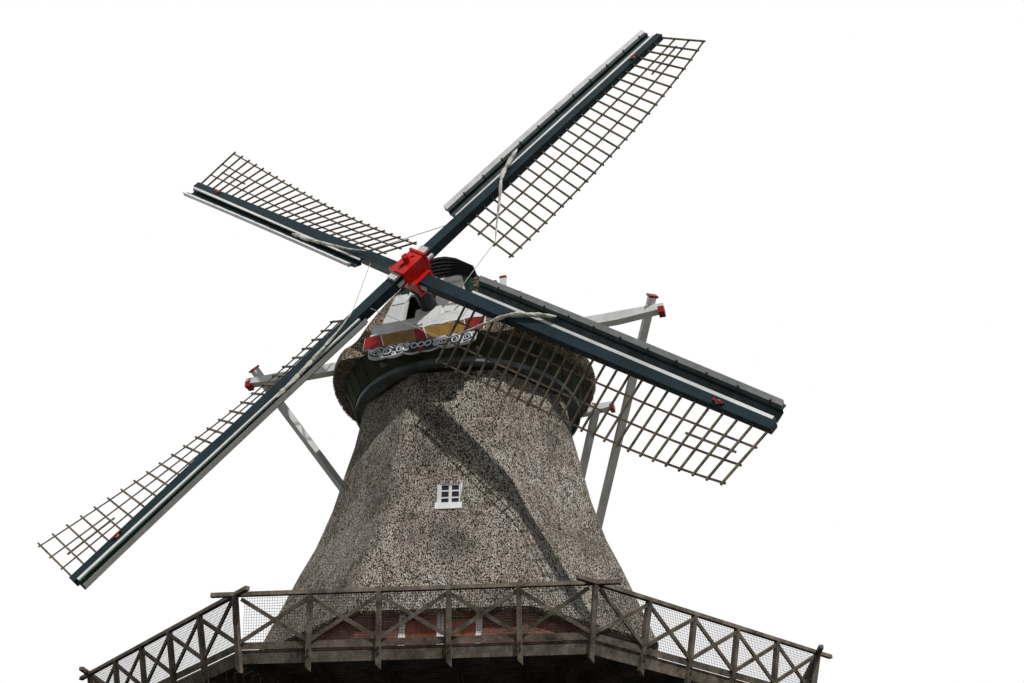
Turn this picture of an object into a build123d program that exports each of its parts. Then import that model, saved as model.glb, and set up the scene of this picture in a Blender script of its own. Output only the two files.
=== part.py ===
from build123d import *
from math import atan2, cos, degrees, hypot, radians, sin, tan
import os

os.makedirs("parts", exist_ok=True)

# Traditional thatched smock mill with a stage, a braced tail and four common sails.
# Millimetres, +Z up, origin on the tower's axis at ground level, window side toward -Y.

# Tower plan
SIDES = 8
FACE_TURN = 360 / SIDES
HALF_TURN = FACE_TURN / 2
FLAT = cos(radians(HALF_TURN))  # distance of a side over distance of a corner

# Brick base, by corner radius
BASE_FOOT_R = 5900
BASE_TOP_R = 5000
BASE_TOP = 10300
BRICK_WALL = 450

# Thatched smock: corner radius of the reed's outside at each height
SMOCK_LINE = (
    (5400, 9900),
    (4560, 12000),
    (4200, 12800),
    (3820, 14000),
    (3540, 15250),
    (3360, 16000),
    (3200, 17050),
    (3130, 17350),
)
SMOCK_WALL = 380
CORNER_CUT = 45  # how far the reed's rounded corners stand back
CURB_R = 2880
CURB_WALL = 380
CURB_H = 150

# Floors
FLOOR_T = 60
MID_FLOOR = 4000
WINDOW_FLOOR = 12200

# Stage
DECK_TOP = 8100
DECK_T = 50
DECK_R = 8820
DECK_GAP = 8
JOIST_W = 120
JOIST_H = 200
STRUT = 140
STRUT_FOOT = 5650
STRUT_REACH = 7350
BAYS = 5
LEAN = 15.5
RAIL_TOP = 9134
RAIL_H = 80
RAIL_W = 95
RAIL_OVERHANG = 480
POST = 95
POST_DROP = 430
BRACE_W = 75
BRACE_T = 45
TOE_H = 130
TOE_T = 30
RIM_T = 45

# Openings in the walls: width, height, sill height
WINDOW = (660, 700, 12980)
BASE_WINDOW = (950, 1300)
BASE_SILLS = (1300, 5000)
GROUND_DOOR = (2000, 2500)
STAGE_DOOR = (1900, 2000)
FRAME_W = 70
FRAME_T = 110
LEAF_T = 50
PANE_T = 12
SILL_OUT = 90

# Cap turned toward the wind, and the inclined windshaft
CAP_TURN = -13.417
SHAFT_RISE = 12.82
HUB_FORWARD = 4618
HUB_Z = 19605
GABLE_BACK = 1600
RUN_GAP = 6

# Cap: ring, thatch and timbers
CAP_RING_R = 3350
CAP_RING_H = 140
HOOP_T = 50
HOOP_DROP = 106
CAP_MID = -350
SKIRT_R = 3920
SKIRT_Z = 18300
EAVE_R = 3800
EAVE_Z = 18050
SOFFIT_Z = 17550
SOFFIT_T = 40
SOFFIT_TOP_R = 3560
RIDGE_Z = 21600
# Shares of the half width and of the height
ROOF_LINE = ((0.12, 0.91), (0.35, 0.7), (0.55, 0.48), (0.75, 0.22), (0.9, 0.075))
CAP_THATCH = 300
SHEER_X = 1300
SHEER_W = 280
FRONT_SPREADER = (6430, 280, -2040, 18670)
REAR_SPREADER = (4030, 260, 2000, 18200)
BRACE = 200
LONG_BRACE_OUT = 5950
SHORT_BRACE_OUT = 3400
TAIL_TOP = (3780, 17850)
TAIL_FOOT = (7230, 8900)
TAIL_W = 330
TAIL_DEPTH = 310
TAIL_FOOT_DEPTH = 250
LONG_BRACE_FOOT = 9500
SHORT_BRACE_FOOT = 11600
BRACE_PAST = 500

# Rotor
SAILS = 4
SAIL_TURN = 51.31
STOCK_TIP = 11580
STOCK_W = 350
STOCK_T = 300
STOCK_TIP_W = 230
STOCK_TIP_T = 200
STOCK_SPACING = 355
POLL_L = 900
POLL_WALL = 55
WEDGE_GAP = 50
NECK_R = 240
SHAFT_R = 150
JOURNAL_R = 110
SHAFT_TAIL = 6200
BARS = 26
HEEL = 2160
TIP = 11519
BAR = 45
LATH_W = 50
LATH_T = 28
HEM_HEEL = 1790
HEM_TIP = 1750
HEEL_TWIST = 25.9
TWIST_RISE = 10.0
TWIST_FALL = 40.4
BOARD_FROM = 2150
BOARD_OUT = 600
BOARD_STRIP = 150
CLOTH_R = 75


def direction(angle):
    """Horizontal unit vector at an angle from the window side."""
    return Vector(sin(radians(angle)), -cos(radians(angle)), 0)


def section_plane(angle):
    """Upright plane through the axis: x outward at the angle, y up."""
    return Plane(origin=(0, 0, 0), x_dir=direction(angle), z_dir=direction(angle - 90))


def face_plane(angle, out, height=0):
    """Upright plane square to the outward angle: x to the right seen from outside, y up."""
    return Plane(
        origin=direction(angle) * out + Vector(0, 0, height),
        x_dir=direction(angle + 90),
        z_dir=direction(angle),
    )


def interpolate(line, height):
    """Value of a (value, height) line at a height."""
    for (low, z_low), (high, z_high) in zip(line, line[1:]):
        if z_low <= height <= z_high:
            return low + (high - low) * (height - z_low) / (z_high - z_low)
    return line[-1][0] if height > line[-1][1] else line[0][0]


def base_face(height):
    """Distance of the brick base's outer face at a height."""
    return FLAT * (BASE_FOOT_R + (BASE_TOP_R - BASE_FOOT_R) * height / BASE_TOP)


def smock_face(height):
    """Distance of the thatch's outer face at a height."""
    return FLAT * interpolate(SMOCK_LINE, height)


def wall_side(angle, outline, holes=()):
    """One side of the octagon: an upright outline swept along the side and mitred."""
    with BuildPart() as side:
        with BuildSketch(section_plane(angle)):
            with BuildLine():
                Polyline(*outline, close=True)
            make_face()
        extrude(amount=BASE_FOOT_R / 2, both=True)
        split(bisect_by=Plane(origin=(0, 0, 0), z_dir=direction(angle - HALF_TURN + 90)), keep=Keep.TOP)
        split(bisect_by=Plane(origin=(0, 0, 0), z_dir=direction(angle + HALF_TURN - 90)), keep=Keep.TOP)
        for width, height, sill in holes:
            with BuildSketch(face_plane(angle, 0, sill + height / 2)):
                Rectangle(width, height)
            extrude(amount=BASE_FOOT_R, mode=Mode.SUBTRACT)
    return side.part


# Brick base
base_outline = (
    (base_face(0), 0),
    (base_face(BASE_TOP), BASE_TOP),
    (base_face(BASE_TOP) - BRICK_WALL, BASE_TOP),
    (base_face(0) - BRICK_WALL, 0),
)


def base_holes(number):
    """Openings of one side: doors on the window side and its opposite, windows elsewhere."""
    if number % 4 == 0:
        return (
            (*GROUND_DOOR, 0),
            (*STAGE_DOOR, DECK_TOP),
            (*BASE_WINDOW, BASE_SILLS[1]),
        )
    return tuple((*BASE_WINDOW, sill) for sill in BASE_SILLS)


def window_sides():
    """Sides of the smock that have a window."""
    return range(0, SIDES, 2)


for name, first in (("base_straight", 0), ("base_slanted", 1)):
    with BuildPart() as base_walls:
        for number in range(first, SIDES, 2):
            add(wall_side(number * FACE_TURN, base_outline, base_holes(number)))
    base_walls.part.label = name
    export_step(base_walls.part, f"parts/{name}.step")

# Thatched smock
outer_line = [(FLAT * radius, height) for radius, height in SMOCK_LINE]
top_in = outer_line[-1][0] - SMOCK_WALL
base_in = base_face(BASE_TOP) - BRICK_WALL
smock_outline = [
    *outer_line,
    (top_in, SMOCK_LINE[-1][1]),
    (base_in, BASE_TOP),
    (base_face(BASE_TOP), BASE_TOP),
    (base_face(SMOCK_LINE[0][1]), SMOCK_LINE[0][1]),
]
corner_line = [(radius - CORNER_CUT, height) for radius, height in SMOCK_LINE]
corner_outline = [
    (BASE_FOOT_R, SMOCK_LINE[0][1] - CORNER_CUT),
    (corner_line[0][0], SMOCK_LINE[0][1] - CORNER_CUT),
    *corner_line,
    (corner_line[-1][0], SMOCK_LINE[-1][1] + CORNER_CUT),
    (BASE_FOOT_R, SMOCK_LINE[-1][1] + CORNER_CUT),
]


def corner_cut(angle):
    """Prism outside the rounded corner of the thatch at an angle."""
    with BuildPart() as prism:
        with BuildSketch(section_plane(angle)):
            with BuildLine():
                Polyline(*corner_outline, close=True)
            make_face()
        extrude(amount=6 * CORNER_CUT, both=True)
    return prism.part


for name, first in (("smock_straight", 0), ("smock_slanted", 1)):
    with BuildPart() as smock:
        for number in range(first, SIDES, 2):
            holes = (WINDOW,) if number in window_sides() else ()
            add(wall_side(number * FACE_TURN, smock_outline, holes))
        for number in range(SIDES):
            add(corner_cut((number + 0.5) * FACE_TURN), mode=Mode.SUBTRACT)
    smock.part.label = name
    export_step(smock.part, f"parts/{name}.step")

# Curb: the ring that the cap turns on
CURB_Z = SMOCK_LINE[-1][1]
with BuildPart() as curb_ring:
    with BuildSketch(Plane.XY.offset(CURB_Z)):
        Circle(CURB_R)
        Circle(CURB_R - CURB_WALL, mode=Mode.SUBTRACT)
    extrude(amount=CURB_H)
curb_ring.part.label = "curb_ring"
export_step(curb_ring.part, "parts/curb_ring.step")

# Floors inside
with BuildPart() as floors:
    for level in (MID_FLOOR, DECK_TOP, WINDOW_FLOOR):
        if level < BASE_TOP:
            inside = base_face(level) - BRICK_WALL
        else:
            share = (level - BASE_TOP) / (CURB_Z - BASE_TOP)
            inside = base_in + (top_in - base_in) * share
        with BuildSketch(Plane.XY.offset(level)):
            RegularPolygon(inside, SIDES, major_radius=False, rotation=HALF_TURN)
        extrude(amount=-FLOOR_T)
floors.part.label = "floors"
export_step(floors.part, "parts/floors.step")


# Doors and windows: frames, leaves and panes
def wall_openings():
    """Every opening as angle, wall depth of its frame, width, height, sill and kind."""
    for number in range(SIDES):
        angle = number * FACE_TURN
        for width, height, sill in base_holes(number):
            kind = "window" if width == BASE_WINDOW[0] else "door"
            yield angle, base_face(sill + height) - FRAME_T, width, height, sill, kind
    for number in window_sides():
        width, height, sill = WINDOW
        yield number * FACE_TURN, smock_face(sill + height) - FRAME_T, width, height, sill, "window"


with BuildPart() as frames:
    for angle, out, width, height, sill, kind in wall_openings():
        with BuildSketch(face_plane(angle, out, sill + height / 2)):
            Rectangle(width, height)
            foot = FRAME_W if kind == "window" else 0
            with Locations((0, (foot - FRAME_W) / 2)):
                Rectangle(width - 2 * FRAME_W, height - FRAME_W - foot, mode=Mode.SUBTRACT)
        extrude(amount=FRAME_T)
        if kind == "window":
            with BuildSketch(face_plane(angle, out, sill + FRAME_W / 2)):
                Rectangle(width, FRAME_W)
            extrude(amount=FRAME_T + SILL_OUT)
frames.part.label = "frames"
export_step(frames.part, "parts/frames.step")

with BuildPart() as door_leaves:
    for angle, out, width, height, sill, kind in wall_openings():
        if kind == "door":
            leaf = width / 2 - FRAME_W
            with BuildSketch(face_plane(angle, out + FRAME_T / 3, sill + (height - FRAME_W) / 2)):
                Rectangle(2 * leaf, height - FRAME_W)
            extrude(amount=LEAF_T)
door_leaves.part.label = "door_leaves"
export_step(door_leaves.part, "parts/door_leaves.step")

with BuildPart() as panes:
    for angle, out, width, height, sill, kind in wall_openings():
        if kind == "window":
            with BuildSketch(face_plane(angle, out + FRAME_T / 3, sill + height / 2)):
                Rectangle(width - 2 * FRAME_W, height - 2 * FRAME_W)
            extrude(amount=PANE_T)
panes.part.label = "panes"
export_step(panes.part, "parts/panes.step")

# Stage: deck, joists, struts and rim
DECK_EDGE = FLAT * DECK_R
RIM_DOWN = DECK_T / cos(radians(LEAN)) + RIM_T * tan(radians(LEAN))
BOARDS_EDGE = DECK_EDGE - DECK_T * tan(radians(LEAN))
JOIST_END = DECK_EDGE - RIM_T / cos(radians(LEAN)) - (DECK_T + JOIST_H) * tan(radians(LEAN))
JOIST_TOP = DECK_TOP - DECK_T
JOIST_LOW = JOIST_TOP - JOIST_H
BAY = 2 * DECK_EDGE * tan(radians(HALF_TURN)) / BAYS
with BuildPart() as deck:
    for number in range(SIDES):
        angle = number * FACE_TURN
        inner = base_face(DECK_TOP - DECK_T) + DECK_GAP
        slope = tan(radians(HALF_TURN))
        cut = DECK_GAP / 2 / cos(radians(HALF_TURN))
        with BuildSketch(Plane(origin=(0, 0, DECK_TOP), x_dir=direction(angle + 90), z_dir=(0, 0, 1))):
            with BuildLine():
                Polyline(
                    (inner * slope - cut, -inner),
                    (BOARDS_EDGE * slope - cut, -BOARDS_EDGE),
                    (cut - BOARDS_EDGE * slope, -BOARDS_EDGE),
                    (cut - inner * slope, -inner),
                    close=True,
                )
            make_face()
        extrude(amount=-DECK_T)
deck.part.label = "deck"
export_step(deck.part, "parts/deck.step")

with BuildPart() as joists:
    for number in range(SIDES):
        corner = (number + 0.5) * FACE_TURN
        hip_in = base_face(JOIST_LOW) / FLAT
        hip_out = (JOIST_END - JOIST_W / 2 * sin(radians(HALF_TURN))) / FLAT
        with BuildSketch(section_plane(corner)):
            with Locations(((hip_in + hip_out) / 2, JOIST_TOP - JOIST_H / 2)):
                Rectangle(hip_out - hip_in, JOIST_H)
        extrude(amount=JOIST_W / 2, both=True)
        for place in (-1.5, -0.5, 0.5, 1.5):
            start = base_face(JOIST_LOW)
            if abs(place) > 1:
                start = BAY * 1.5 / tan(radians(HALF_TURN)) + 2 * JOIST_W
            plane = face_plane(number * FACE_TURN, start, JOIST_TOP - JOIST_H / 2)
            with BuildSketch(plane):
                with Locations((place * BAY, 0)):
                    Rectangle(JOIST_W, JOIST_H)
            extrude(amount=JOIST_END - start)
joists.part.label = "joists"
export_step(joists.part, "parts/joists.step")

with BuildPart() as struts:
    rise = STRUT * 1.6
    for number in range(SIDES):
        angle = number * FACE_TURN
        for place in (-0.5, 0.5):
            plane = section_plane(angle)
            plane.origin = direction(angle + 90) * place * BAY
            with BuildSketch(plane):
                with BuildLine():
                    Polyline(
                        (base_face(STRUT_FOOT), STRUT_FOOT),
                        (STRUT_REACH + STRUT, JOIST_LOW),
                        (STRUT_REACH - STRUT / 2, JOIST_LOW),
                        (base_face(STRUT_FOOT + rise), STRUT_FOOT + rise),
                        close=True,
                    )
                make_face()
            extrude(amount=STRUT / 2, both=True)
        with BuildSketch(section_plane(angle + HALF_TURN)):
            with BuildLine():
                Polyline(
                    (base_face(STRUT_FOOT) / FLAT, STRUT_FOOT),
                    ((STRUT_REACH + STRUT) / FLAT, JOIST_LOW),
                    ((STRUT_REACH - STRUT / 2) / FLAT, JOIST_LOW),
                    (base_face(STRUT_FOOT + rise) / FLAT, STRUT_FOOT + rise),
                    close=True,
                )
            make_face()
        extrude(amount=STRUT / 2, both=True)
struts.part.label = "struts"
export_step(struts.part, "parts/struts.step")


# Railing: corner posts, then one panel for each side
def leaning_plane(angle, out, aside=0):
    """Plane of the railing: x to the right, y up along the leaning posts, z outward."""
    outward = direction(angle)
    tilt = radians(LEAN) if out == DECK_EDGE else atan2(tan(radians(LEAN)), FLAT)
    return Plane(
        origin=outward * out + direction(angle + 90) * aside + Vector(0, 0, DECK_TOP),
        x_dir=direction(angle + 90),
        z_dir=outward * cos(tilt) - Vector(0, 0, sin(tilt)),
    )


RAIL_LOW = RAIL_TOP - RAIL_H
POST_UP = (RAIL_LOW - DECK_TOP) / cos(radians(LEAN))


def post_outline(height):
    """Post from its bevelled lower end to the rail."""
    Polyline(
        (-POST / 2, -POST_DROP + POST),
        (POST / 2, -POST_DROP),
        (POST / 2, height),
        (-POST / 2, height),
        close=True,
    )


with BuildPart() as corner_posts:
    for number in range(SIDES):
        plane = leaning_plane((number + 0.5) * FACE_TURN, DECK_R)
        with BuildSketch(plane):
            with BuildLine():
                post_outline(POST_UP + 2 * POST)
            make_face()
        extrude(amount=POST)
    split(bisect_by=Plane.XY.offset(RAIL_LOW), keep=Keep.BOTTOM)
corner_posts.part.label = "corner_posts"
export_step(corner_posts.part, "parts/corner_posts.step")

RAIL_OUT = DECK_EDGE + (RAIL_LOW - DECK_TOP) * tan(radians(LEAN)) + POST / 2
SIDE_NAMES = (
    "front",
    "front_right",
    "right",
    "rear_right",
    "rear",
    "rear_left",
    "left",
    "front_left",
)


def rail_bar(angle, low, high):
    """Handrail of one side between two heights, as long as its crossing ends."""
    half = RAIL_OUT * tan(radians(HALF_TURN)) + RAIL_OVERHANG
    with BuildPart() as bar:
        with BuildSketch(Plane(origin=(0, 0, low), x_dir=direction(angle + 90), z_dir=(0, 0, 1))):
            with Locations((0, -RAIL_OUT)):
                Rectangle(2 * half, RAIL_W)
        extrude(amount=high - low)
    return bar.part


half_side = DECK_EDGE * tan(radians(HALF_TURN))
plane = leaning_plane(0, DECK_EDGE)
with BuildPart() as panel:
    for place in (-1.5, -0.5, 0.5, 1.5):
        with BuildSketch(leaning_plane(0, DECK_EDGE, place * BAY)):
            with BuildLine():
                post_outline(POST_UP + POST)
            make_face()
        extrude(amount=POST)
    with BuildSketch(plane.offset(POST / 2 - BRACE_T / 2)):
        for bay in range(BAYS):
            middle = (bay - (BAYS - 1) / 2) * BAY
            low, high = TOE_H, POST_UP - RAIL_H / 2
            turn = degrees(atan2(high - low, BAY))
            for way in (-1, 1):
                with Locations((middle, (low + high) / 2)):
                    Rectangle(hypot(high - low, BAY), BRACE_W, rotation=way * turn)
    extrude(amount=BRACE_T)
    with BuildSketch(plane):
        with Locations((0, TOE_H / 2)):
            Rectangle(2 * half_side, TOE_H)
    extrude(amount=TOE_T)
    with BuildSketch(plane):
        with Locations((0, -RIM_DOWN - JOIST_H / 2)):
            Rectangle(2 * half_side, JOIST_H)
    extrude(amount=-RIM_T)
    split(bisect_by=Plane.XY.offset(RAIL_LOW), keep=Keep.BOTTOM)
    split(bisect_by=Plane(origin=(0, 0, 0), z_dir=direction(90 - HALF_TURN)), keep=Keep.TOP)
    split(bisect_by=Plane(origin=(0, 0, 0), z_dir=direction(HALF_TURN - 90)), keep=Keep.TOP)
    add(rail_bar(0, RAIL_LOW, RAIL_TOP))
    middle = (RAIL_LOW + RAIL_TOP) / 2
    add(rail_bar(FACE_TURN, RAIL_LOW, middle), mode=Mode.SUBTRACT)
    add(rail_bar(-FACE_TURN, middle, RAIL_TOP), mode=Mode.SUBTRACT)
    add(corner_posts.part, mode=Mode.SUBTRACT)

for number, side_name in enumerate(SIDE_NAMES):
    with BuildPart() as railing:
        add(panel.part, rotation=(0, 0, number * FACE_TURN))
    railing.part.label = f"railing_{side_name}"
    export_step(railing.part, f"parts/railing_{side_name}.step")

# Cap and rotor frames
cap = Plane.XY.rotated((0, 0, CAP_TURN))
RISE = radians(SHAFT_RISE)
shaft_line = Plane(origin=(0, -HUB_FORWARD, HUB_Z), x_dir=(1, 0, 0), z_dir=(0, -cos(RISE), sin(RISE)))


def on_cap(plane):
    """A plane given in the cap's own frame, front toward -Y."""
    return Plane(cap.location * plane.location)


def on_shaft(plane=Plane.XY):
    """A plane given in the windshaft's frame: x across, y up the rotor's plane, z to the wind."""
    return on_cap(Plane(shaft_line.location * plane.location))


def on_sail(number, plane=Plane.XY):
    """A plane given in a sail's frame: x out along the stock, y to the leading side, z to the wind."""
    turn = SAIL_TURN + number * 360 / SAILS
    layer = STOCK_SPACING / 2 if number % 2 == 0 else -STOCK_SPACING / 2
    here = Plane(origin=(0, 0, layer), x_dir=(cos(radians(turn)), sin(radians(turn)), 0), z_dir=(0, 0, 1))
    return on_shaft(Plane(here.location * plane.location))


def in_shaft(height, back):
    """Height in the rotor's plane, at a distance behind the hub, of a world height."""
    return (height - HUB_Z + back * sin(RISE)) / cos(RISE)


# Cap frame: ring on the curb, two inclined sheers, tail beam and middle sheer
RING_Z = CURB_Z + CURB_H + RUN_GAP
SHEER_Z = RING_Z + CAP_RING_H
BEAM_FRONT, BEAM_BACK = 1260, 1640
BEAM_LOW, BEAM_HIGH = -980, -440
BEAM_HALF = 1640


def weather_box():
    """The weather beam's timber."""
    with BuildPart() as box:
        with BuildSketch(on_shaft(Plane.XY.offset(-BEAM_BACK))):
            with Locations((0, (BEAM_LOW + BEAM_HIGH) / 2)):
                Rectangle(2 * BEAM_HALF, BEAM_HIGH - BEAM_LOW)
        extrude(amount=BEAM_BACK - BEAM_FRONT)
    return box.part


def spreader_bar(half, size, y, z):
    """A spreader across the cap, its lower side tapered toward both ends."""
    with BuildPart() as bar:
        with BuildSketch(on_cap(Plane(origin=(0, y - size / 2, z), x_dir=(1, 0, 0), z_dir=(0, 1, 0)))):
            with BuildLine():
                Polyline(
                    (-half, -size / 2),
                    (half, -size / 2),
                    (half, size / 8),
                    (half * 0.8, size / 2),
                    (-half * 0.8, size / 2),
                    (-half, size / 8),
                    close=True,
                )
            make_face()
        extrude(amount=size)
    return bar.part


front_bar = spreader_bar(*FRONT_SPREADER)
rear_bar = spreader_bar(*REAR_SPREADER)
JOURNAL_BACK = 5900
JOURNAL_L = 200
with BuildPart() as cap_frame:
    with BuildSketch(Plane.XY.offset(RING_Z)):
        Circle(CAP_RING_R)
        Circle(CURB_R - CURB_WALL, mode=Mode.SUBTRACT)
    extrude(amount=CAP_RING_H)
    with BuildSketch(Plane.XY.offset(RING_Z)):
        Circle(CAP_RING_R)
        Circle(CAP_RING_R - HOOP_T, mode=Mode.SUBTRACT)
    extrude(amount=-HOOP_DROP)
    for side in (-1, 1):
        with BuildSketch(on_cap(Plane(origin=(side * SHEER_X, 0, 0), x_dir=(0, 1, 0), z_dir=(1, 0, 0)))):
            with BuildLine():
                Polyline(
                    (-3300, SHEER_Z),
                    (2900, SHEER_Z),
                    (2900, 18100),
                    (FRONT_SPREADER[2], FRONT_SPREADER[3]),
                    (-3300, FRONT_SPREADER[3]),
                    close=True,
                )
            make_face()
        extrude(amount=SHEER_W / 2, both=True)
    with BuildSketch(on_cap(Plane(origin=(0, 1150, SHEER_Z), x_dir=(1, 0, 0), z_dir=(0, 0, 1)))):
        with Locations((0, 150)):
            Rectangle(2 * SHEER_X, 300)
        with Locations((0, (TAIL_TOP[0] - 1150) / 2)):
            Rectangle(TAIL_W, TAIL_TOP[0] - 1150)
    extrude(amount=TAIL_TOP[1] - SHEER_Z + 80)
    with BuildSketch(on_shaft(Plane.XY.offset(-JOURNAL_BACK))):
        with Locations((0, -JOURNAL_R - 130)):
            Rectangle(6 * JOURNAL_R, 360)
        Circle(JOURNAL_R + RUN_GAP, mode=Mode.SUBTRACT)
    extrude(amount=-JOURNAL_L)
    add(weather_box(), mode=Mode.SUBTRACT)
    add(front_bar, mode=Mode.SUBTRACT)
    add(rear_bar, mode=Mode.SUBTRACT)
cap_frame.part.label = "cap_frame"
export_step(cap_frame.part, "parts/cap_frame.step")

# Soffit: conical boarding from the ring's hoop out to the eave
SOFFIT_LAP = 5
SOFFIT_R = CAP_RING_R + SOFFIT_T - SOFFIT_LAP
gable_plane = on_shaft(Plane.XY.offset(-GABLE_BACK))
beard_plane = on_shaft(Plane.XY.offset(-BEAM_FRONT))


def cone(inset):
    """The soffit's cone, from a circle at the hoop to the wider eave, made smaller by an inset."""
    with BuildPart() as body:
        with BuildSketch(on_cap(Plane.XY.offset(SOFFIT_Z))):
            Circle(SOFFIT_R - inset)
        with BuildSketch(on_cap(Plane(origin=(0, CAP_MID, EAVE_Z)))):
            Circle(SOFFIT_TOP_R - inset)
        loft()
    return body.part


with BuildPart() as cap_soffit:
    add(cone(0))
    add(cone(SOFFIT_T), mode=Mode.SUBTRACT)
    split(bisect_by=beard_plane, keep=Keep.BOTTOM)
    add(cap_frame.part, mode=Mode.SUBTRACT)
    add(weather_box(), mode=Mode.SUBTRACT)
cap_soffit.part.label = "cap_soffit"
export_step(cap_soffit.part, "parts/cap_soffit.step")


# Cap thatch: a boat-shaped roof lofted through arched sections
def cap_section(y, inset, low):
    """One arched section across the cap, made smaller by an inset."""
    skirt = ((SKIRT_R - inset) ** 2 - (y - CAP_MID) ** 2) ** 0.5
    eave = max(((EAVE_R - inset) ** 2 - (y - CAP_MID) ** 2), 0.25 * skirt**2) ** 0.5
    back = max(y, 0) / 3500
    top = RIDGE_Z - inset * 1.2 - 2300 * back**2.4
    with BuildSketch(on_cap(Plane(origin=(0, y, 0), x_dir=(1, 0, 0), z_dir=(0, -1, 0)))) as section:
        with BuildLine():
            flank = [(skirt * share, SKIRT_Z + (top - SKIRT_Z) * height) for share, height in ROOF_LINE]
            right = Spline((0, top), *flank, (skirt, SKIRT_Z), tangents=((0.9, -0.3), (0, -1)))
            Line((skirt, SKIRT_Z), (eave, low))
            Line((eave, low), (-eave, low))
            Line((-eave, low), (-skirt, SKIRT_Z))
            mirror(right, about=Plane.YZ)
        make_face()
    return section.sketch


def cap_hull(first, last, count, inset, low):
    """Solid hull of the cap between two stations, closer together toward the rear."""
    turns = [radians(90 * step / (count - 1)) for step in range(count)]
    sections = [cap_section(first + (last - first) * sin(turn), inset, low) for turn in turns]
    with BuildPart() as hull:
        loft(sections)
    return hull.part


GABLE_LOW, GABLE_HIGH = BEAM_HIGH, 1440
GABLE_LOW_HALF, GABLE_HIGH_HALF = 1470, 1010
GABLE_T = 80
GABLE_POST = 260
GABLE_POST_T = 60
GABLE_HOLE_R = NECK_R + 60
HATCH_SIDE, HATCH_TOP = 880, 1000
HATCH_LEAF = ((880, -400), (880, 960), (1250, 960), (1500, -100), (1500, -400))
LEAF_BOARD = 40


def gable_passage():
    """Opening of the thatch behind the gable, down past the weather beam."""
    with BuildPart() as passage:
        with BuildSketch(on_shaft(Plane.XY.offset(-GABLE_BACK - 1000))):
            with BuildLine():
                Polyline(
                    (-GABLE_LOW_HALF, BEAM_LOW - 300),
                    (GABLE_LOW_HALF, BEAM_LOW - 300),
                    (GABLE_LOW_HALF, GABLE_LOW),
                    (GABLE_HIGH_HALF, GABLE_HIGH),
                    (-GABLE_HIGH_HALF, GABLE_HIGH),
                    (-GABLE_LOW_HALF, GABLE_LOW),
                    close=True,
                )
            make_face()
        extrude(amount=1100)
    return passage.part


# Brake lever and its guide, standing out of the roof behind the gable
LEVER_X, LEVER_Z = 1100, 21550
GUIDE_FOOT = 20300
with BuildPart() as brake_lever:
    for x, width, top in ((LEVER_X - 320, 200, 22300), (LEVER_X, 210, 22420)):
        with BuildSketch(on_cap(Plane(origin=(x, 0, GUIDE_FOOT), x_dir=(1, 0, 0), z_dir=(0, 0, 1)))):
            Rectangle(width, 90)
        extrude(amount=top - GUIDE_FOOT)
    with BuildSketch(on_cap(Plane(origin=(LEVER_X - 380, 0, LEVER_Z), x_dir=(0, 1, 0), z_dir=(1, 0, 0)))):
        Rectangle(130, 260)
    extrude(amount=980)
brake_lever.part.label = "brake_lever"
export_step(brake_lever.part, "parts/brake_lever.step")

# Thatch of the cap in two halves
HULL_FRONT, HULL_REAR = -3600, 3480
with BuildPart() as cap_thatch:
    add(cap_hull(HULL_FRONT, HULL_REAR, 8, 0, EAVE_Z))
    add(cap_hull(-2300, HULL_REAR - CAP_THATCH, 7, CAP_THATCH, EAVE_Z - 300), mode=Mode.SUBTRACT)
    split(bisect_by=gable_plane, keep=Keep.BOTTOM)
    add(gable_passage(), mode=Mode.SUBTRACT)
    for piece in (cap_frame.part, weather_box(), front_bar, rear_bar, brake_lever.part):
        add(piece, mode=Mode.SUBTRACT)
for name, keep in (("cap_thatch_left", Keep.BOTTOM), ("cap_thatch_right", Keep.TOP)):
    with BuildPart() as half:
        add(cap_thatch.part)
        split(bisect_by=on_cap(Plane.YZ), keep=keep)
    half.part.label = name
    export_step(half.part, f"parts/{name}.step")

# Lapped hood over the gable's top: boards that fan out from both tips, each set back under the last
HOOD_BANDS = 6
HOOD_OUT = 320
HOOD_IN = 90
HOOD_TOP = ((0, 2110), (240, 2080), (580, 1920), (1190, 1400))
HOOD_LOW = ((0, 1430), (240, 1430), (580, 1420), (1130, 1240))


def hood_line(share):
    """Edge between two hood boards, from the top outline (0) to the lower edge (1)."""
    return [
        (top[0] + (low[0] - top[0]) * share, top[1] + (low[1] - top[1]) * share)
        for top, low in zip(HOOD_TOP, HOOD_LOW)
    ]


with BuildPart() as hood:
    for band in range(HOOD_BANDS):
        upper = hood_line(band / HOOD_BANDS)
        lower = hood_line((band + 1) / HOOD_BANDS)
        with BuildSketch(gable_plane):
            with BuildLine():
                Polyline(*upper, *reversed(lower))
                mirror(about=Plane.YZ)
            make_face()
        extrude(amount=HOOD_OUT - (HOOD_OUT - HOOD_IN) * band / (HOOD_BANDS - 1))
hood.part.label = "hood"
export_step(hood.part, "parts/hood.step")

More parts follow.
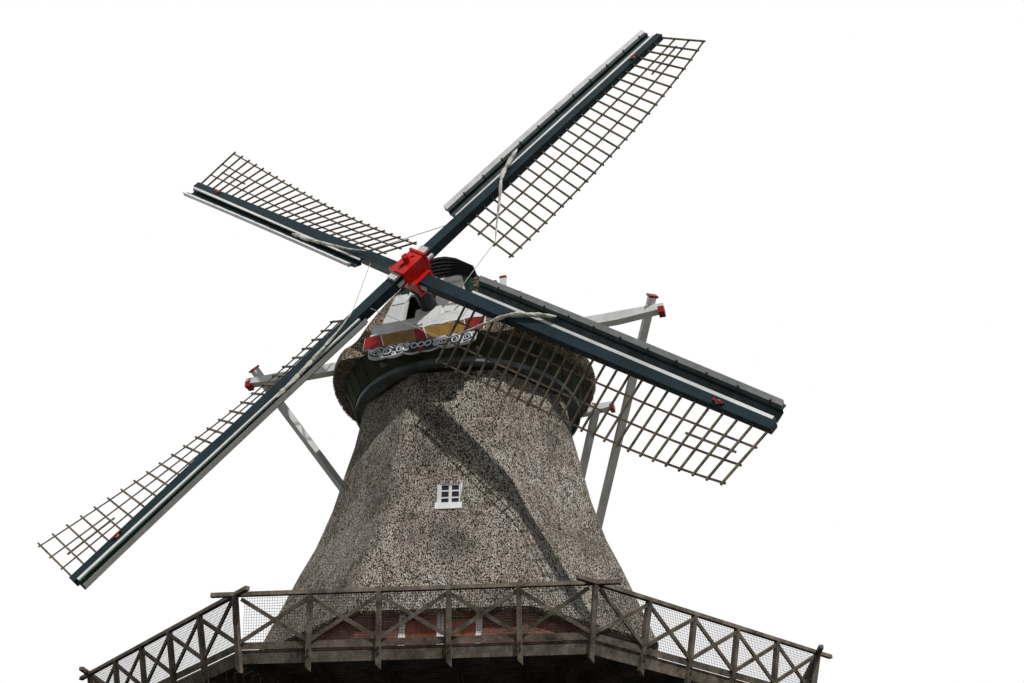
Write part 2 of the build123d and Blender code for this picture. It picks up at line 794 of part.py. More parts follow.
# Gable: boarded wall with the shaft's opening and its open hatch, inclined posts and head
with BuildPart() as gable:
    outline = (
        (-GABLE_LOW_HALF, GABLE_LOW),
        (GABLE_LOW_HALF, GABLE_LOW),
        (GABLE_HIGH_HALF, GABLE_HIGH),
        (-GABLE_HIGH_HALF, GABLE_HIGH),
    )
    with BuildSketch(gable_plane):
        with BuildLine():
            Polyline(*outline, close=True)
        make_face()
        Circle(GABLE_HOLE_R, mode=Mode.SUBTRACT)
        with Locations(((GABLE_HOLE_R - HATCH_SIDE) / 2, GABLE_LOW / 2)):
            Rectangle(GABLE_HOLE_R + HATCH_SIDE, -GABLE_LOW, mode=Mode.SUBTRACT)
        with Locations((-HATCH_SIDE / 2, HATCH_TOP / 2)):
            Rectangle(HATCH_SIDE, HATCH_TOP, mode=Mode.SUBTRACT)
    extrude(amount=-GABLE_T)
    with BuildSketch(gable_plane):
        with BuildLine():
            Polyline(*outline, close=True)
        make_face()
        with BuildLine():
            Polyline(
                (GABLE_POST - GABLE_LOW_HALF, GABLE_LOW),
                (GABLE_LOW_HALF - GABLE_POST, GABLE_LOW),
                (GABLE_HIGH_HALF - GABLE_POST, GABLE_HIGH - GABLE_POST),
                (GABLE_POST - GABLE_HIGH_HALF, GABLE_HIGH - GABLE_POST),
                close=True,
            )
        make_face(mode=Mode.SUBTRACT)
    extrude(amount=GABLE_POST_T)
    with BuildSketch(on_shaft(Plane.XY.offset(GABLE_POST_T - GABLE_BACK))):
        with BuildLine():
            Polyline(*[(-x, y) for x, y in HATCH_LEAF], close=True)
        make_face()
    extrude(amount=LEAF_BOARD)
    add(hood.part, mode=Mode.SUBTRACT)
gable.part.label = "gable"
export_step(gable.part, "parts/gable.step")

# Weather beam with the neck's bearing block
with BuildPart() as weather_beam:
    add(weather_box())
    with BuildSketch(on_shaft(Plane.XY.offset(-BEAM_BACK))):
        with Locations((0, BEAM_HIGH / 2 - 60)):
            Rectangle(760, -BEAM_HIGH - 60)
        Circle(NECK_R + RUN_GAP, mode=Mode.SUBTRACT)
    extrude(amount=BEAM_BACK - BEAM_FRONT)
    add(gable.part, mode=Mode.SUBTRACT)
weather_beam.part.label = "weather_beam"
export_step(weather_beam.part, "parts/weather_beam.step")

# Beard: panel before the weather beam with a shaped carving below it
BEARD_T = 60
BEARD_HALF, BEARD_TOP, BEARD_LOW = 1780, -940, -1430
CARVING = (
    (-1560, -1760),
    (-1040, -1840),
    (-520, -1800),
    (0, -1840),
    (520, -1800),
    (1040, -1840),
    (1560, -1760),
)
with BuildPart() as beard:
    with BuildSketch(beard_plane):
        with BuildLine():
            Polyline(
                (CARVING[-1][0], CARVING[-1][1]),
                (CARVING[-1][0] + 40, BEARD_LOW),
                (BEARD_HALF, BEARD_LOW),
                (BEARD_HALF, BEARD_TOP),
                (-BEARD_HALF, BEARD_TOP),
                (-BEARD_HALF, BEARD_LOW),
                (CARVING[0][0] - 40, BEARD_LOW),
                (CARVING[0][0], CARVING[0][1]),
            )
            for start, end in zip(CARVING, CARVING[1:]):
                ThreePointArc(start, ((start[0] + end[0]) / 2, (start[1] + end[1]) / 2 - 70), end)
        make_face()
    extrude(amount=BEARD_T)
beard.part.label = "beard"
export_step(beard.part, "parts/beard.step")

# Spreaders
with BuildPart() as spreaders:
    add(front_bar)
    add(rear_bar)
spreaders.part.label = "spreaders"
export_step(spreaders.part, "parts/spreaders.step")


# Tail pole, braces and winch
def tail_y(height):
    """How far back the tail pole is at a height."""
    share = (TAIL_TOP[1] - height) / (TAIL_TOP[1] - TAIL_FOOT[1])
    return TAIL_TOP[0] + TAIL_DEPTH / 2 + share * (TAIL_FOOT[0] - TAIL_TOP[0] - TAIL_DEPTH / 2)


with BuildPart() as tail_pole:
    with BuildSketch(on_cap(Plane(origin=(0, 0, 0), x_dir=(0, 1, 0), z_dir=(1, 0, 0)))):
        with BuildLine():
            Polyline(
                (TAIL_TOP[0], TAIL_TOP[1] + 250),
                (TAIL_TOP[0], TAIL_TOP[1] - 250),
                (TAIL_FOOT[0] - TAIL_FOOT_DEPTH / 2, TAIL_FOOT[1] - 50),
                (TAIL_FOOT[0] + TAIL_FOOT_DEPTH / 2, TAIL_FOOT[1] + 50),
                (TAIL_TOP[0] + TAIL_DEPTH, TAIL_TOP[1] - 100),
                (TAIL_TOP[0] + TAIL_DEPTH, TAIL_TOP[1] + 250),
                close=True,
            )
        make_face()
    extrude(amount=TAIL_W / 2, both=True)
tail_pole.part.label = "tail_pole"
export_step(tail_pole.part, "parts/tail_pole.step")

with BuildPart() as braces:
    for side in (-1, 1):
        long_head = (LONG_BRACE_OUT, FRONT_SPREADER[2] + 150, FRONT_SPREADER[3] + 60)
        short_head = (SHORT_BRACE_OUT, REAR_SPREADER[2] + 130, REAR_SPREADER[3] - 60)
        for head, foot_z, past in (
            (long_head, LONG_BRACE_FOOT, BRACE_PAST),
            (short_head, SHORT_BRACE_FOOT, BRACE_PAST / 2),
        ):
            top = Vector(side * head[0], head[1], head[2])
            foot = Vector(side * TAIL_W / 2, tail_y(foot_z), foot_z)
            run = (top - foot).normalized()
            across = Vector(0, 0, 1).cross(run)
            with BuildSketch(on_cap(Plane(origin=foot - run * BRACE * 2, x_dir=across, z_dir=run))):
                Rectangle(BRACE, BRACE)
            extrude(amount=(top - foot).length + BRACE * 2 + past)
    with BuildSketch(on_cap(Plane(origin=(0, 0, 0), x_dir=(0, 1, 0), z_dir=(1, 0, 0)))):
        with Locations((0, 13000)):
            Rectangle(20000, 26000)
    extrude(amount=TAIL_W / 2, both=True, mode=Mode.SUBTRACT)
    add(front_bar, mode=Mode.SUBTRACT)
    add(rear_bar, mode=Mode.SUBTRACT)
    for stray in braces.solids().sort_by(SortBy.VOLUME)[:-4]:
        add(stray, mode=Mode.SUBTRACT)
braces.part.label = "braces"
export_step(braces.part, "parts/braces.step")

WINCH = (7480, 9060)
WINCH_R = 90
SPOKES = 8
SPOKE_L = 480


def winch_plane(out):
    """Plane across the winch's barrel at a distance to the tail pole's right."""
    return on_cap(Plane(origin=(out, WINCH[0], WINCH[1]), x_dir=(0, 1, 0), z_dir=(1, 0, 0)))


with BuildPart() as winch:
    for side in (-1, 1):
        with BuildSketch(on_cap(Plane(origin=(side * TAIL_W / 2, 0, 0), x_dir=(0, 1, 0), z_dir=(1, 0, 0)))):
            with Locations((WINCH[0] - 150, WINCH[1])):
                RectangleRounded(560, 220, 60)
        extrude(amount=side * 45)
    with BuildSketch(winch_plane(-TAIL_W / 2 - 90)):
        Circle(WINCH_R)
    extrude(amount=TAIL_W + 180)
    with BuildSketch(winch_plane(TAIL_W / 2 + 60)):
        Circle(WINCH_R + 60)
        with PolarLocations(SPOKE_L / 2, SPOKES):
            Rectangle(SPOKE_L, 50)
    extrude(amount=50)
winch.part.label = "winch"
export_step(winch.part, "parts/winch.step")

# Windshaft: tapered iron shaft with a neck and a tail journal
POLL_BACK = STOCK_SPACING / 2 + STOCK_T / 2 + WEDGE_GAP + POLL_WALL
with BuildPart() as windshaft:
    with BuildSketch(on_shaft(Plane(origin=(0, 0, 0), x_dir=(0, 1, 0), z_dir=(1, 0, 0)))):
        with BuildLine():
            Polyline(
                (0, -POLL_BACK),
                (NECK_R + 60, -POLL_BACK),
                (NECK_R + 60, -POLL_BACK - 90),
                (NECK_R, -POLL_BACK - 150),
                (NECK_R, -BEAM_BACK - 60),
                (SHAFT_R, -BEAM_BACK - 600),
                (SHAFT_R, -JOURNAL_BACK + 40),
                (JOURNAL_R, -JOURNAL_BACK + 40),
                (JOURNAL_R, -SHAFT_TAIL),
                (0, -SHAFT_TAIL),
                close=True,
            )
        make_face()
    hub_axis = on_shaft()
    revolve(axis=Axis(hub_axis.origin, hub_axis.z_dir))
windshaft.part.label = "windshaft"
export_step(windshaft.part, "parts/windshaft.step")

# Poll end: iron box with two crossing mortises, collars at the mouths and a boss with two bolts
COLLAR = 75
COLLAR_OUT = 35
SLOT = (520, 120, 35)
BOSS_R, BOSS_L = 95, 210
BOLT_R, BOLT_L = 24, 40
with BuildPart() as poll_end:
    width = STOCK_W + 2 * WEDGE_GAP + 2 * POLL_WALL
    low = STOCK_SPACING / 2
    high = STOCK_T / 2 + WEDGE_GAP + POLL_WALL
    for number, way in ((0, 1), (1, -1)):
        with BuildSketch(on_sail(number, Plane.XY.offset(-way * low))):
            Rectangle(POLL_L, width)
        extrude(amount=way * (low + high))
        with BuildSketch(on_sail(number, Plane.XY.offset(-way * low))):
            with Locations(((POLL_L - COLLAR) / 2, 0), ((COLLAR - POLL_L) / 2, 0)):
                Rectangle(COLLAR, width + 2 * COLLAR_OUT)
        extrude(amount=way * (low + high + COLLAR_OUT))
    for number, way in ((0, 1), (1, -1)):
        with BuildSketch(on_sail(number, Plane.XY.offset(-way * STOCK_T / 2))):
            Rectangle(POLL_L + 2, STOCK_W + 2 * WEDGE_GAP)
        extrude(amount=way * (STOCK_T + WEDGE_GAP), mode=Mode.SUBTRACT)
    with BuildSketch(on_sail(0, Plane.XY.offset(high))):
        Rectangle(SLOT[0], SLOT[1])
    extrude(amount=-SLOT[2], mode=Mode.SUBTRACT)
    with BuildSketch(on_sail(0, Plane.XY.offset(high - SLOT[2]))):
        Circle(BOSS_R)
    extrude(amount=SLOT[2] + BOSS_L)
    with BuildSketch(on_sail(0, Plane.XY.offset(high + BOSS_L))):
        with Locations((BOSS_R / 2, 0), (-BOSS_R / 2, 0)):
            RegularPolygon(BOLT_R, 6)
    extrude(amount=BOLT_L)
poll_end.part.label = "poll_end"
export_step(poll_end.part, "parts/poll_end.step")

# Wedges: three on the open face and one on each side of every mortise mouth
WEDGE_IN, WEDGE_OUT = 270, 690
WEDGE_W = 84
with BuildPart() as wedges:
    for number in range(SAILS):
        way = 1 if number % 2 == 0 else -1
        mouth = POLL_L / 2
        profile = (
            (WEDGE_IN, 0),
            (WEDGE_OUT, 0),
            (WEDGE_OUT, WEDGE_GAP + 32),
            (mouth + 12, WEDGE_GAP + 14),
            (mouth, WEDGE_GAP - 1),
            (WEDGE_IN, WEDGE_GAP - 14),
        )
        for place in (-1, 0, 1):
            origin = (0, place * (WEDGE_W + 22), way * STOCK_T / 2)
            with BuildSketch(on_sail(number, Plane(origin=origin, x_dir=(1, 0, 0), z_dir=(0, -way, 0)))):
                with BuildLine():
                    Polyline(*profile, close=True)
                make_face()
            extrude(amount=WEDGE_W / 2, both=True)
        for side in (-1, 1):
            origin = (0, side * STOCK_W / 2, 0)
            with BuildSketch(on_sail(number, Plane(origin=origin, x_dir=(1, 0, 0), z_dir=(0, 0, side)))):
                with BuildLine():
                    Polyline(*profile, close=True)
                make_face()
            extrude(amount=WEDGE_W / 2, both=True)
wedges.part.label = "wedges"
export_step(wedges.part, "parts/wedges.step")

# Stocks: two long timbers through the poll end
TAPER_FROM = 850


def stock_width(out):
    """Width of a stock at a distance from the hub."""
    share = max(out - TAPER_FROM, 0) / (STOCK_TIP - TAPER_FROM)
    return STOCK_W + (STOCK_TIP_W - STOCK_W) * share


with BuildPart() as timber:
    with BuildSketch():
        with BuildLine():
            Polyline(
                (-STOCK_TIP, STOCK_TIP_W / 2),
                (-TAPER_FROM, STOCK_W / 2),
                (TAPER_FROM, STOCK_W / 2),
                (STOCK_TIP, STOCK_TIP_W / 2),
                (STOCK_TIP, -STOCK_TIP_W / 2),
                (TAPER_FROM, -STOCK_W / 2),
                (-TAPER_FROM, -STOCK_W / 2),
                (-STOCK_TIP, -STOCK_TIP_W / 2),
                close=True,
            )
        make_face()
    extrude(amount=STOCK_T / 2, both=True)
    with BuildSketch(Plane.XZ):
        with BuildLine():
            Polyline(
                (-STOCK_TIP, STOCK_TIP_T / 2),
                (-TAPER_FROM, STOCK_T / 2),
                (TAPER_FROM, STOCK_T / 2),
                (STOCK_TIP, STOCK_TIP_T / 2),
                (STOCK_TIP, -STOCK_TIP_T / 2),
                (TAPER_FROM, -STOCK_T / 2),
                (-TAPER_FROM, -STOCK_T / 2),
                (-STOCK_TIP, -STOCK_TIP_T / 2),
                close=True,
            )
        make_face()
    extrude(amount=STOCK_W, both=True, mode=Mode.INTERSECT)
for number, name in ((0, "stock_outer"), (1, "stock_inner")):
    with BuildPart() as stock:
        add(on_sail(number).location * timber.part)
    stock.part.label = name
    export_step(stock.part, f"parts/{name}.step")


# Sails: twisted lattices on the trailing side
def twist(out):
    """Angle of the sail at a distance from the hub, trailing side toward the tower."""
    share = (out - HEEL) / (TIP - HEEL)
    return radians(HEEL_TWIST + TWIST_RISE * share - TWIST_FALL * share**2)


def hem(out):
    """Distance of the hem lath from the stock's middle."""
    return HEM_HEEL + (HEM_TIP - HEM_HEEL) * (out - HEEL) / (TIP - HEEL)


LATH_PLACES = (0.36, 0.68, 1)
LATH_KNOTS = 6
with BuildPart() as sail_lattice:
    for bar in range(BARS):
        out = HEEL + (TIP - HEEL) * bar / (BARS - 1)
        turn = twist(out)
        with BuildSketch(Plane(origin=(out, 0, 0), x_dir=(1, 0, 0), z_dir=(0, -cos(turn), -sin(turn)))):
            Rectangle(BAR, BAR)
        extrude(amount=hem(out) + LATH_W / 2 + 60)
    for place in LATH_PLACES:
        knots = []
        for knot in range(LATH_KNOTS):
            out = HEEL - 90 + (TIP - HEEL + 150) * knot / (LATH_KNOTS - 1)
            turn = twist(out)
            aside, back = hem(out) * place, (BAR + LATH_T) / 2 - 8
            knots.append((
                out,
                -aside * cos(turn) + back * sin(turn),
                -aside * sin(turn) - back * cos(turn),
            ))
        with BuildLine():
            run = Spline(*knots)
        with BuildSketch(Plane(origin=run @ 0, z_dir=run % 0, x_dir=(0, 1, 0))):
            Rectangle(LATH_W, LATH_T, rotation=degrees(twist(HEEL)))
        sweep(path=run)
    add(timber.part, mode=Mode.SUBTRACT)
for number in range(SAILS):
    with BuildPart() as lattice:
        add(on_sail(number).location * sail_lattice.part)
    lattice.part.label = f"lattice_{number + 1}"
    export_step(lattice.part, f"parts/lattice_{number + 1}.step")


# Leading boards: a shallow trough along each stock
def board_section(number, out):
    """Cross-section of the leading boards at a distance from the hub."""
    near = stock_width(out) / 2
    far = near + BOARD_OUT - 130
    lean = twist(out) * 0.4
    strip = far - BOARD_STRIP
    points = (
        (near, 60),
        (near + 85, 60),
        (near + 115, -60),
        (strip - 8, 0),
        (strip, 110),
        (far, 110),
        (far, 82),
        (strip + 28, 82),
        (strip + 20, -28),
        (near + 95, -90),
        (near + 62, 32),
        (near, 32),
    )
    turned = [(y, z + (y - near) * tan(lean)) for y, z in points]
    with BuildSketch(on_sail(number, Plane(origin=(out, 0, 0), x_dir=(0, 1, 0), z_dir=(1, 0, 0)))) as section:
        with BuildLine():
            Polyline(*turned, close=True)
        make_face()
    return section.sketch


BOARD_STATIONS = 5
BOARD_TO = STOCK_TIP - 60
for name, first in (("boards_outer", 0), ("boards_inner", 1)):
    with BuildPart() as boards:
        for number in (first, first + 2):
            step = (BOARD_TO - BOARD_FROM) / (BOARD_STATIONS - 1)
            places = [BOARD_FROM + step * station for station in range(BOARD_STATIONS)]
            loft([board_section(number, place) for place in places], ruled=True)
    boards.part.label = name
    export_step(boards.part, f"parts/{name}.step")

# Furled sailcloths
CROSSING = (
    (5100, 395, 228),
    (4500, 200, 214),
    (3900, -60, 206),
    (3250, -480, 0),
    (2600, -850, -270),
    (2150, -1150, -420),
)
HUGGING = (
    (5250, 395, 212),
    (4500, 350, 205),
    (3900, 280, 208),
    (2800, 120, 212),
    (2100, -60, 216),
)
CLOTH_ROUTES = (CROSSING, HUGGING, HUGGING, CROSSING)
for name, first in (("cloth_outer", 0), ("cloth_inner", 1)):
    with BuildPart() as cloth:
        for number in (first, first + 2):
            with BuildLine(on_sail(number)):
                run = Spline(*CLOTH_ROUTES[number])
            with BuildSketch(Plane(origin=run @ 0, z_dir=run % 0)):
                Circle(CLOTH_R)
            sweep(path=run)
            add(on_sail(number).location * timber.part, mode=Mode.SUBTRACT)
    cloth.part.label = name
    export_step(cloth.part, f"parts/{name}.step")
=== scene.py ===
# %% [markdown]
# # A thatched smock mill with a stage
# The solid model comes in as a fixed frame: a brick base, a reed-thatched smock, a
# railed stage, a cap that turns to the wind on its tail, and four lattice sails.
# This lesson dresses that frame. Each cell makes one piece or one finish of the real
# mill, with the measures a millwright would use, in metres.

# %% Load the frame
import math

import bpy
import numpy as np
from mathutils import Matrix, Vector


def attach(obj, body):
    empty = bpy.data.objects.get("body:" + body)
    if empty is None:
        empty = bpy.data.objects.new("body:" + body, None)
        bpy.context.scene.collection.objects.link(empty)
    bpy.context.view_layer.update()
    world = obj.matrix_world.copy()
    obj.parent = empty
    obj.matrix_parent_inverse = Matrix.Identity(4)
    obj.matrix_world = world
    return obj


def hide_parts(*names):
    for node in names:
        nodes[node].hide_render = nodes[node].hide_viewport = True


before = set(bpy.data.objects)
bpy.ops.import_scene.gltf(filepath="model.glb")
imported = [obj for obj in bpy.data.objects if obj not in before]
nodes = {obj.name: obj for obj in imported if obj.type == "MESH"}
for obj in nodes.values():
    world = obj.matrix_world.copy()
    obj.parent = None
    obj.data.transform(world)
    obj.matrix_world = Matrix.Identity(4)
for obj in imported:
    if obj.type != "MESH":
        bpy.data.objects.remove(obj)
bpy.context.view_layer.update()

print(len(nodes), "solid pieces in the frame")

# %% [markdown]
# ## Where the sails, the cap and the walls stand
# Every part of a mill is easiest to describe in its own directions: a sail by how far
# out along its stock, a wall by its own width and height. A 4 x 4 matrix carries such
# points to their place. The cap is turned toward the wind, and the windshaft rises
# toward the sails so that they clear the tower.

# %% Places of the main parts
CAP_TURN, SHAFT_RISE = math.radians(-13.417), math.radians(12.82)
HUB_FORWARD, HUB_Z = 4.618, 19.605
SAIL_TURN, STOCK_SPACING = 51.31, 0.355
SIDES = 8


def unit(vectors):
    """Vectors divided by their own lengths."""
    return vectors / np.linalg.norm(vectors, axis=-1, keepdims=True)


def placed(origin, x_way, z_way):
    """Matrix whose columns are a piece's own x, y (z crossed with x) and z directions and its origin."""
    x_way, z_way = unit(np.array(x_way, float)), unit(np.array(z_way, float))
    matrix = np.eye(4)
    matrix[:3] = np.column_stack([x_way, np.cross(z_way, x_way), z_way, origin])
    return matrix


def swung(matrix, ways):
    """Directions carried by a matrix: rotate each."""
    return np.asarray(ways, float) @ matrix[:3, :3].T


def turned(matrix, points):
    """Points carried by a matrix: rotate each, then add the origin."""
    return swung(matrix, points) + matrix[:3, 3]


def wall_place(side):
    """One side of the tower: x to the right seen from outside, y up, z out of the wall."""
    turn = 2 * math.pi * side / SIDES
    return placed((0, 0, 0), (math.cos(turn), math.sin(turn), 0), (math.sin(turn), -math.cos(turn), 0))


def sail_place(number):
    """One sail: x out along its stock, y to the leading side, z to the wind."""
    turn = math.radians(SAIL_TURN + 90 * number)
    layer = STOCK_SPACING / 2 * (-1) ** number
    return shaft_place @ placed((0, 0, layer), (math.cos(turn), math.sin(turn), 0), (0, 0, 1))


cap_place = placed((0, 0, 0), (math.cos(CAP_TURN), math.sin(CAP_TURN), 0), (0, 0, 1))
shaft_place = cap_place @ placed(
    (0, -HUB_FORWARD, HUB_Z), (1, 0, 0), (0, -math.cos(SHAFT_RISE), math.sin(SHAFT_RISE)))
WALLS = [wall_place(side) for side in range(SIDES)]
SAILS = [sail_place(number) for number in range(4)]
print("hub at", np.round(shaft_place[:3, 3], 3), "and the wind comes from", np.round(shaft_place[:3, 2], 3))

# %% [markdown]
# ## The camera
# The picture is taken from the ground, close in front of the mill, looking steeply up.
# The lens and the tilt were solved from the mill's own lines, so that model and picture
# share one perspective.

# %% Camera
EYE, LENS, SENSOR, FARTHEST = (3.4148, -28.6551, 1.65), 38.6, 36.0, 300.0


def added(name, data):
    """New object of the given data, in the scene and at its origin."""
    made = bpy.data.objects.new(name, data)
    bpy.context.scene.collection.objects.link(made)
    return made


heading, pitch, roll = map(math.radians, (-4.176, 32.709, -0.435))
ahead = np.array([math.sin(heading) * math.cos(pitch), math.cos(heading) * math.cos(pitch), math.sin(pitch)])
level_right = np.array([math.cos(heading), -math.sin(heading), 0.0])
right = level_right * math.cos(roll) + np.cross(level_right, ahead) * math.sin(roll)
lens = bpy.data.cameras.new("camera")
lens.lens, lens.sensor_width, lens.clip_end = LENS, SENSOR, FARTHEST
camera = added("camera", lens)
camera.matrix_world = Matrix(placed(EYE, right, -ahead).tolist())
bpy.context.scene.camera = camera
print("camera tilts up", round(math.degrees(pitch), 1), "degrees")

# %% [markdown]
# ## Making meshes from arrays
# Most of a mill is sawn timber and laid rows of one shape. Both are quick to make as
# arrays. One helper turns points and faces into an object that rides on a body of the
# frame. Another makes many timbers at once from their two ends and their section.

# %% Mesh helpers
BOX_FACES = np.array([(0, 3, 2, 1), (4, 5, 6, 7), (0, 1, 5, 4), (1, 2, 6, 5), (2, 3, 7, 6), (3, 0, 4, 7)])


def new_piece(name, points, faces, body, finish, smooth=False):
    """Piece of four-cornered faces that rides on a body, in the given finish.

    The volume it prints is a sixth of the sum, over the triangles, of corner a crossed with b, times c.
    It is above zero only where a closed surface faces outwards.
    """
    points = np.asarray(points, float).reshape(-1, 3)
    mesh = bpy.data.meshes.new(name)
    mesh.from_pydata(points.tolist(), [], faces.tolist(), shade_flat=not smooth)
    mesh.validate()
    mesh.materials.append(finish)
    piece = added(name, mesh)
    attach(piece, body)
    a, b, c = points[np.concatenate([faces[:, :3], faces[:, [0, 2, 3]]])].transpose(1, 0, 2)
    litres = (np.cross(a, b) * c).sum() / 6 * 1000
    print(f"{name}: {len(points)} points, {len(a)} triangles, {litres:.1f} litres")
    return piece


def repeated(faces, count, size):
    """The same faces for each of many like shapes, each shape's corner numbers further on by its size."""
    return (faces[None] + np.arange(count)[:, None, None] * size).reshape(-1, 4)


def boxes(name, corners, body, finish):
    """Many boxes in one piece: corners[box, corner, xyz], four at one end and four at the other."""
    return new_piece(name, corners, repeated(BOX_FACES, len(corners), 8), body, finish)


def timbers(name, rows, body, finish):
    """Straight timbers: each end plus and minus half the width and half the depth.

    A row is a timber's start, end, the way across it, its width that way, and its depth.
    """
    start, end, across, width, depth = (np.array(column, float) for column in zip(*rows))
    run = unit(end - start)
    side = unit(across - (across * run).sum(1, keepdims=True) * run)
    wide, deep = side * width[:, None] / 2, np.cross(run, side) * depth[:, None] / 2
    ring = ((-1, -1), (1, -1), (1, 1), (-1, 1))
    corners = np.stack([base + wide * a + deep * b for base in (start, end) for a, b in ring], axis=1)
    return boxes(name, corners, body, finish)


def carried(rows, *places):
    """Rows of timbers carried from a place's own directions into the mill's, for each place."""
    return [
        (turned(place, start), turned(place, end), swung(place, across), *size)
        for place in places for start, end, across, *size in rows
    ]


def ring_faces(rings, around, closed=False):
    """Faces between rings of corners, with the last ring joined to the first where closed."""
    row, column = np.meshgrid(np.arange(rings if closed else rings - 1), np.arange(around), indexing="ij")
    this, following = row * around, (row + 1) % rings * around
    beside = (column + 1) % around
    corners = this + column, this + beside, following + beside, following + column
    return np.stack(corners, axis=-1).reshape(-1, 4)


def tube_points(path, radius, around=6, up=(0.0, 0.0, 1.0)):
    """Rings carried along a path: each point plus radius times cosine and sine of two ways across."""
    run = unit(np.gradient(path, axis=0))
    first = unit(np.cross(run, up))
    turn = np.linspace(0, 2 * np.pi, around, endpoint=False)[:, None]
    ring = first[:, None] * np.cos(turn) + np.cross(run, first)[:, None] * np.sin(turn)
    return path[:, None] + ring * np.broadcast_to(radius, len(path))[:, None, None]


def smooth_line(knots, count):
    """Points along a smooth curve through knots: each span a cubic with the slopes of its neighbours."""
    slope = np.gradient(knots, axis=0)
    place = np.linspace(0, len(knots) - 1, count)
    span = np.clip(place.astype(int), 0, len(knots) - 2)
    t = (place - span)[:, None]
    return (
        (2 * t**3 - 3 * t**2 + 1) * knots[span] + (t**3 - 2 * t**2 + t) * slope[span]
        + (3 * t**2 - 2 * t**3) * knots[span + 1] + (t**3 - t**2) * slope[span + 1]
    )

# %% [markdown]
# ## Finishes
# A finish is a small tree of nodes: a pattern, a colour ramp and a bump. The patterns
# are measured in metres on the piece itself, so a reed or a brick keeps its true size.
# A few helpers keep each recipe down to a few lines.

# %% Helpers for finishes
def start_finish(name, colour, rough, specular, sheen=0.0):
    """New material and its tree, with the even values set on the shader itself."""
    material = bpy.data.materials.new(name)
    material.use_nodes = True
    inputs = material.node_tree.nodes["Principled BSDF"].inputs
    inputs["Base Color"].default_value = (*colour, 1)
    inputs["Roughness"].default_value = rough
    inputs["Specular IOR Level"].default_value = specular
    inputs["Sheen Weight"].default_value = sheen
    return material, material.node_tree


def fill(tree, socket, value):
    """Join another socket to this one, or give it a value. A colour of three parts is made opaque."""
    if isinstance(value, bpy.types.NodeSocket):
        tree.links.new(value, socket)
    else:
        socket.default_value = (*value, 1) if socket.type == "RGBA" else value


def node(tree, kind, sockets=None, **settings):
    """New node with its settings, and each named socket filled."""
    made = tree.nodes.new("ShaderNode" + kind)
    for key, value in settings.items():
        setattr(made, key, value)
    for key, value in (sockets or {}).items():
        fill(tree, made.inputs[key], value)
    return made


def maths(tree, way, *values, kind="Math", output=0):
    """One sum of values or sockets."""
    return node(tree, kind, dict(enumerate(values)), operation=way).outputs[output]


def stretched(tree, size):
    """Object coordinates divided by a feature's size in metres: one size, or one for each of x, y and z."""
    place = node(tree, "TexCoord").outputs["Object"]
    scale = tuple(1 / np.broadcast_to(size, 3))
    return node(tree, "Mapping", {"Vector": place, "Scale": scale}).outputs["Vector"]


def cloudy(tree, size, detail=3.0, rough=0.55):
    """Noise whose features have the given size."""
    return node(tree, "TexNoise", {
        "Vector": stretched(tree, size), "Scale": 1.0, "Detail": detail, "Roughness": rough,
    }).outputs["Fac"]


def ramp(tree, value, *stops):
    """Colour at each height of a value, from (height, (red, green, blue)) stops."""
    made = node(tree, "ValToRGB", {"Fac": value})
    elements = made.color_ramp.elements
    while len(elements) < len(stops):
        elements.new(0.5)
    for element, (height, colour) in zip(elements, stops):
        element.position, element.color = height, (*colour, 1)
    return made.outputs["Color"]


def blended(tree, share, first, second, way="MIX"):
    """One colour laid over another by a share, plainly or multiplied."""
    sockets = {"Factor": share, 6: first, 7: second}
    return node(tree, "Mix", sockets, data_type="RGBA", blend_type=way).outputs[2]


def tinted(tree, colour, tint):
    """Two colours multiplied."""
    return blended(tree, 1.0, colour, tint, "MULTIPLY")


def surface(tree, colour, height, depth):
    """Give the shader its colour, and the bump of a pattern's height, as deep as the real one."""
    inputs = tree.nodes["Principled BSDF"].inputs
    if colour:
        tree.links.new(colour, inputs["Base Color"])
    bump = node(tree, "Bump", {"Height": height, "Distance": depth})
    tree.links.new(bump.outputs["Normal"], inputs["Normal"])

# %% [markdown]
# ## Reed thatch
# A thatcher dresses reed so that only the cut ends show, as short slanting dashes with
# gaps between them, whose shade is painted into the colour. Weather turns it grey-brown,
# with paler new patches and darker damp ones. A noise and a pattern of cells, stretched
# down the slope, make the dashes, and wide slow noises tint them.

# %% Thatch
def reed_thatch(name, tint):
    """Dashes from a fine noise less a pattern of cells, through a ramp from gaps in painted shade to reed ends."""
    material, tree = start_finish(name, (0.3, 0.25, 0.2), 0.95, 0.15)
    dashes = cloudy(tree, (0.018, 0.018, 0.06), 2.0, 0.6)
    cells = node(tree, "TexVoronoi", {"Vector": stretched(tree, (0.027, 0.027, 0.07)), "Scale": 1.0}, feature="F1")
    depth = maths(tree, "MULTIPLY", cells.outputs["Distance"], 0.55)
    height = maths(tree, "ADD", maths(tree, "SUBTRACT", dashes, depth), 0.27)
    # Painted shade: low heights, the gaps between reed ends, are coloured nearly black.
    colour = ramp(
        tree, height, (0.3, (0.014, 0.012, 0.01)), (0.4, (0.075, 0.062, 0.05)),
        (0.5, (0.3, 0.262, 0.22)), (0.6, (0.64, 0.59, 0.52)),
    )
    worn = cloudy(tree, (1.5, 1.5, 2.2), 4.0, 0.6)
    damp = ramp(tree, worn, (0.34, (0.5, 0.48, 0.46)), (0.5, (0.86, 0.82, 0.77)), (0.66, (1.06, 1.06, 1.05)))
    streaks = cloudy(tree, (0.13, 0.13, 0.5), 3.0, 0.6)
    band = ramp(tree, streaks, (0.34, (0.52, 0.51, 0.5)), (0.5, (0.92, 0.92, 0.92)), (0.66, (1.12, 1.1, 1.07)))
    for shade in (damp, band, tint):
        colour = tinted(tree, colour, shade)
    surface(tree, colour, height, 0.03)
    return material


thatch = reed_thatch("reed thatch", (1.0, 1.0, 1.0))
cap_reed = reed_thatch("cap reed", (0.8, 0.72, 0.62))

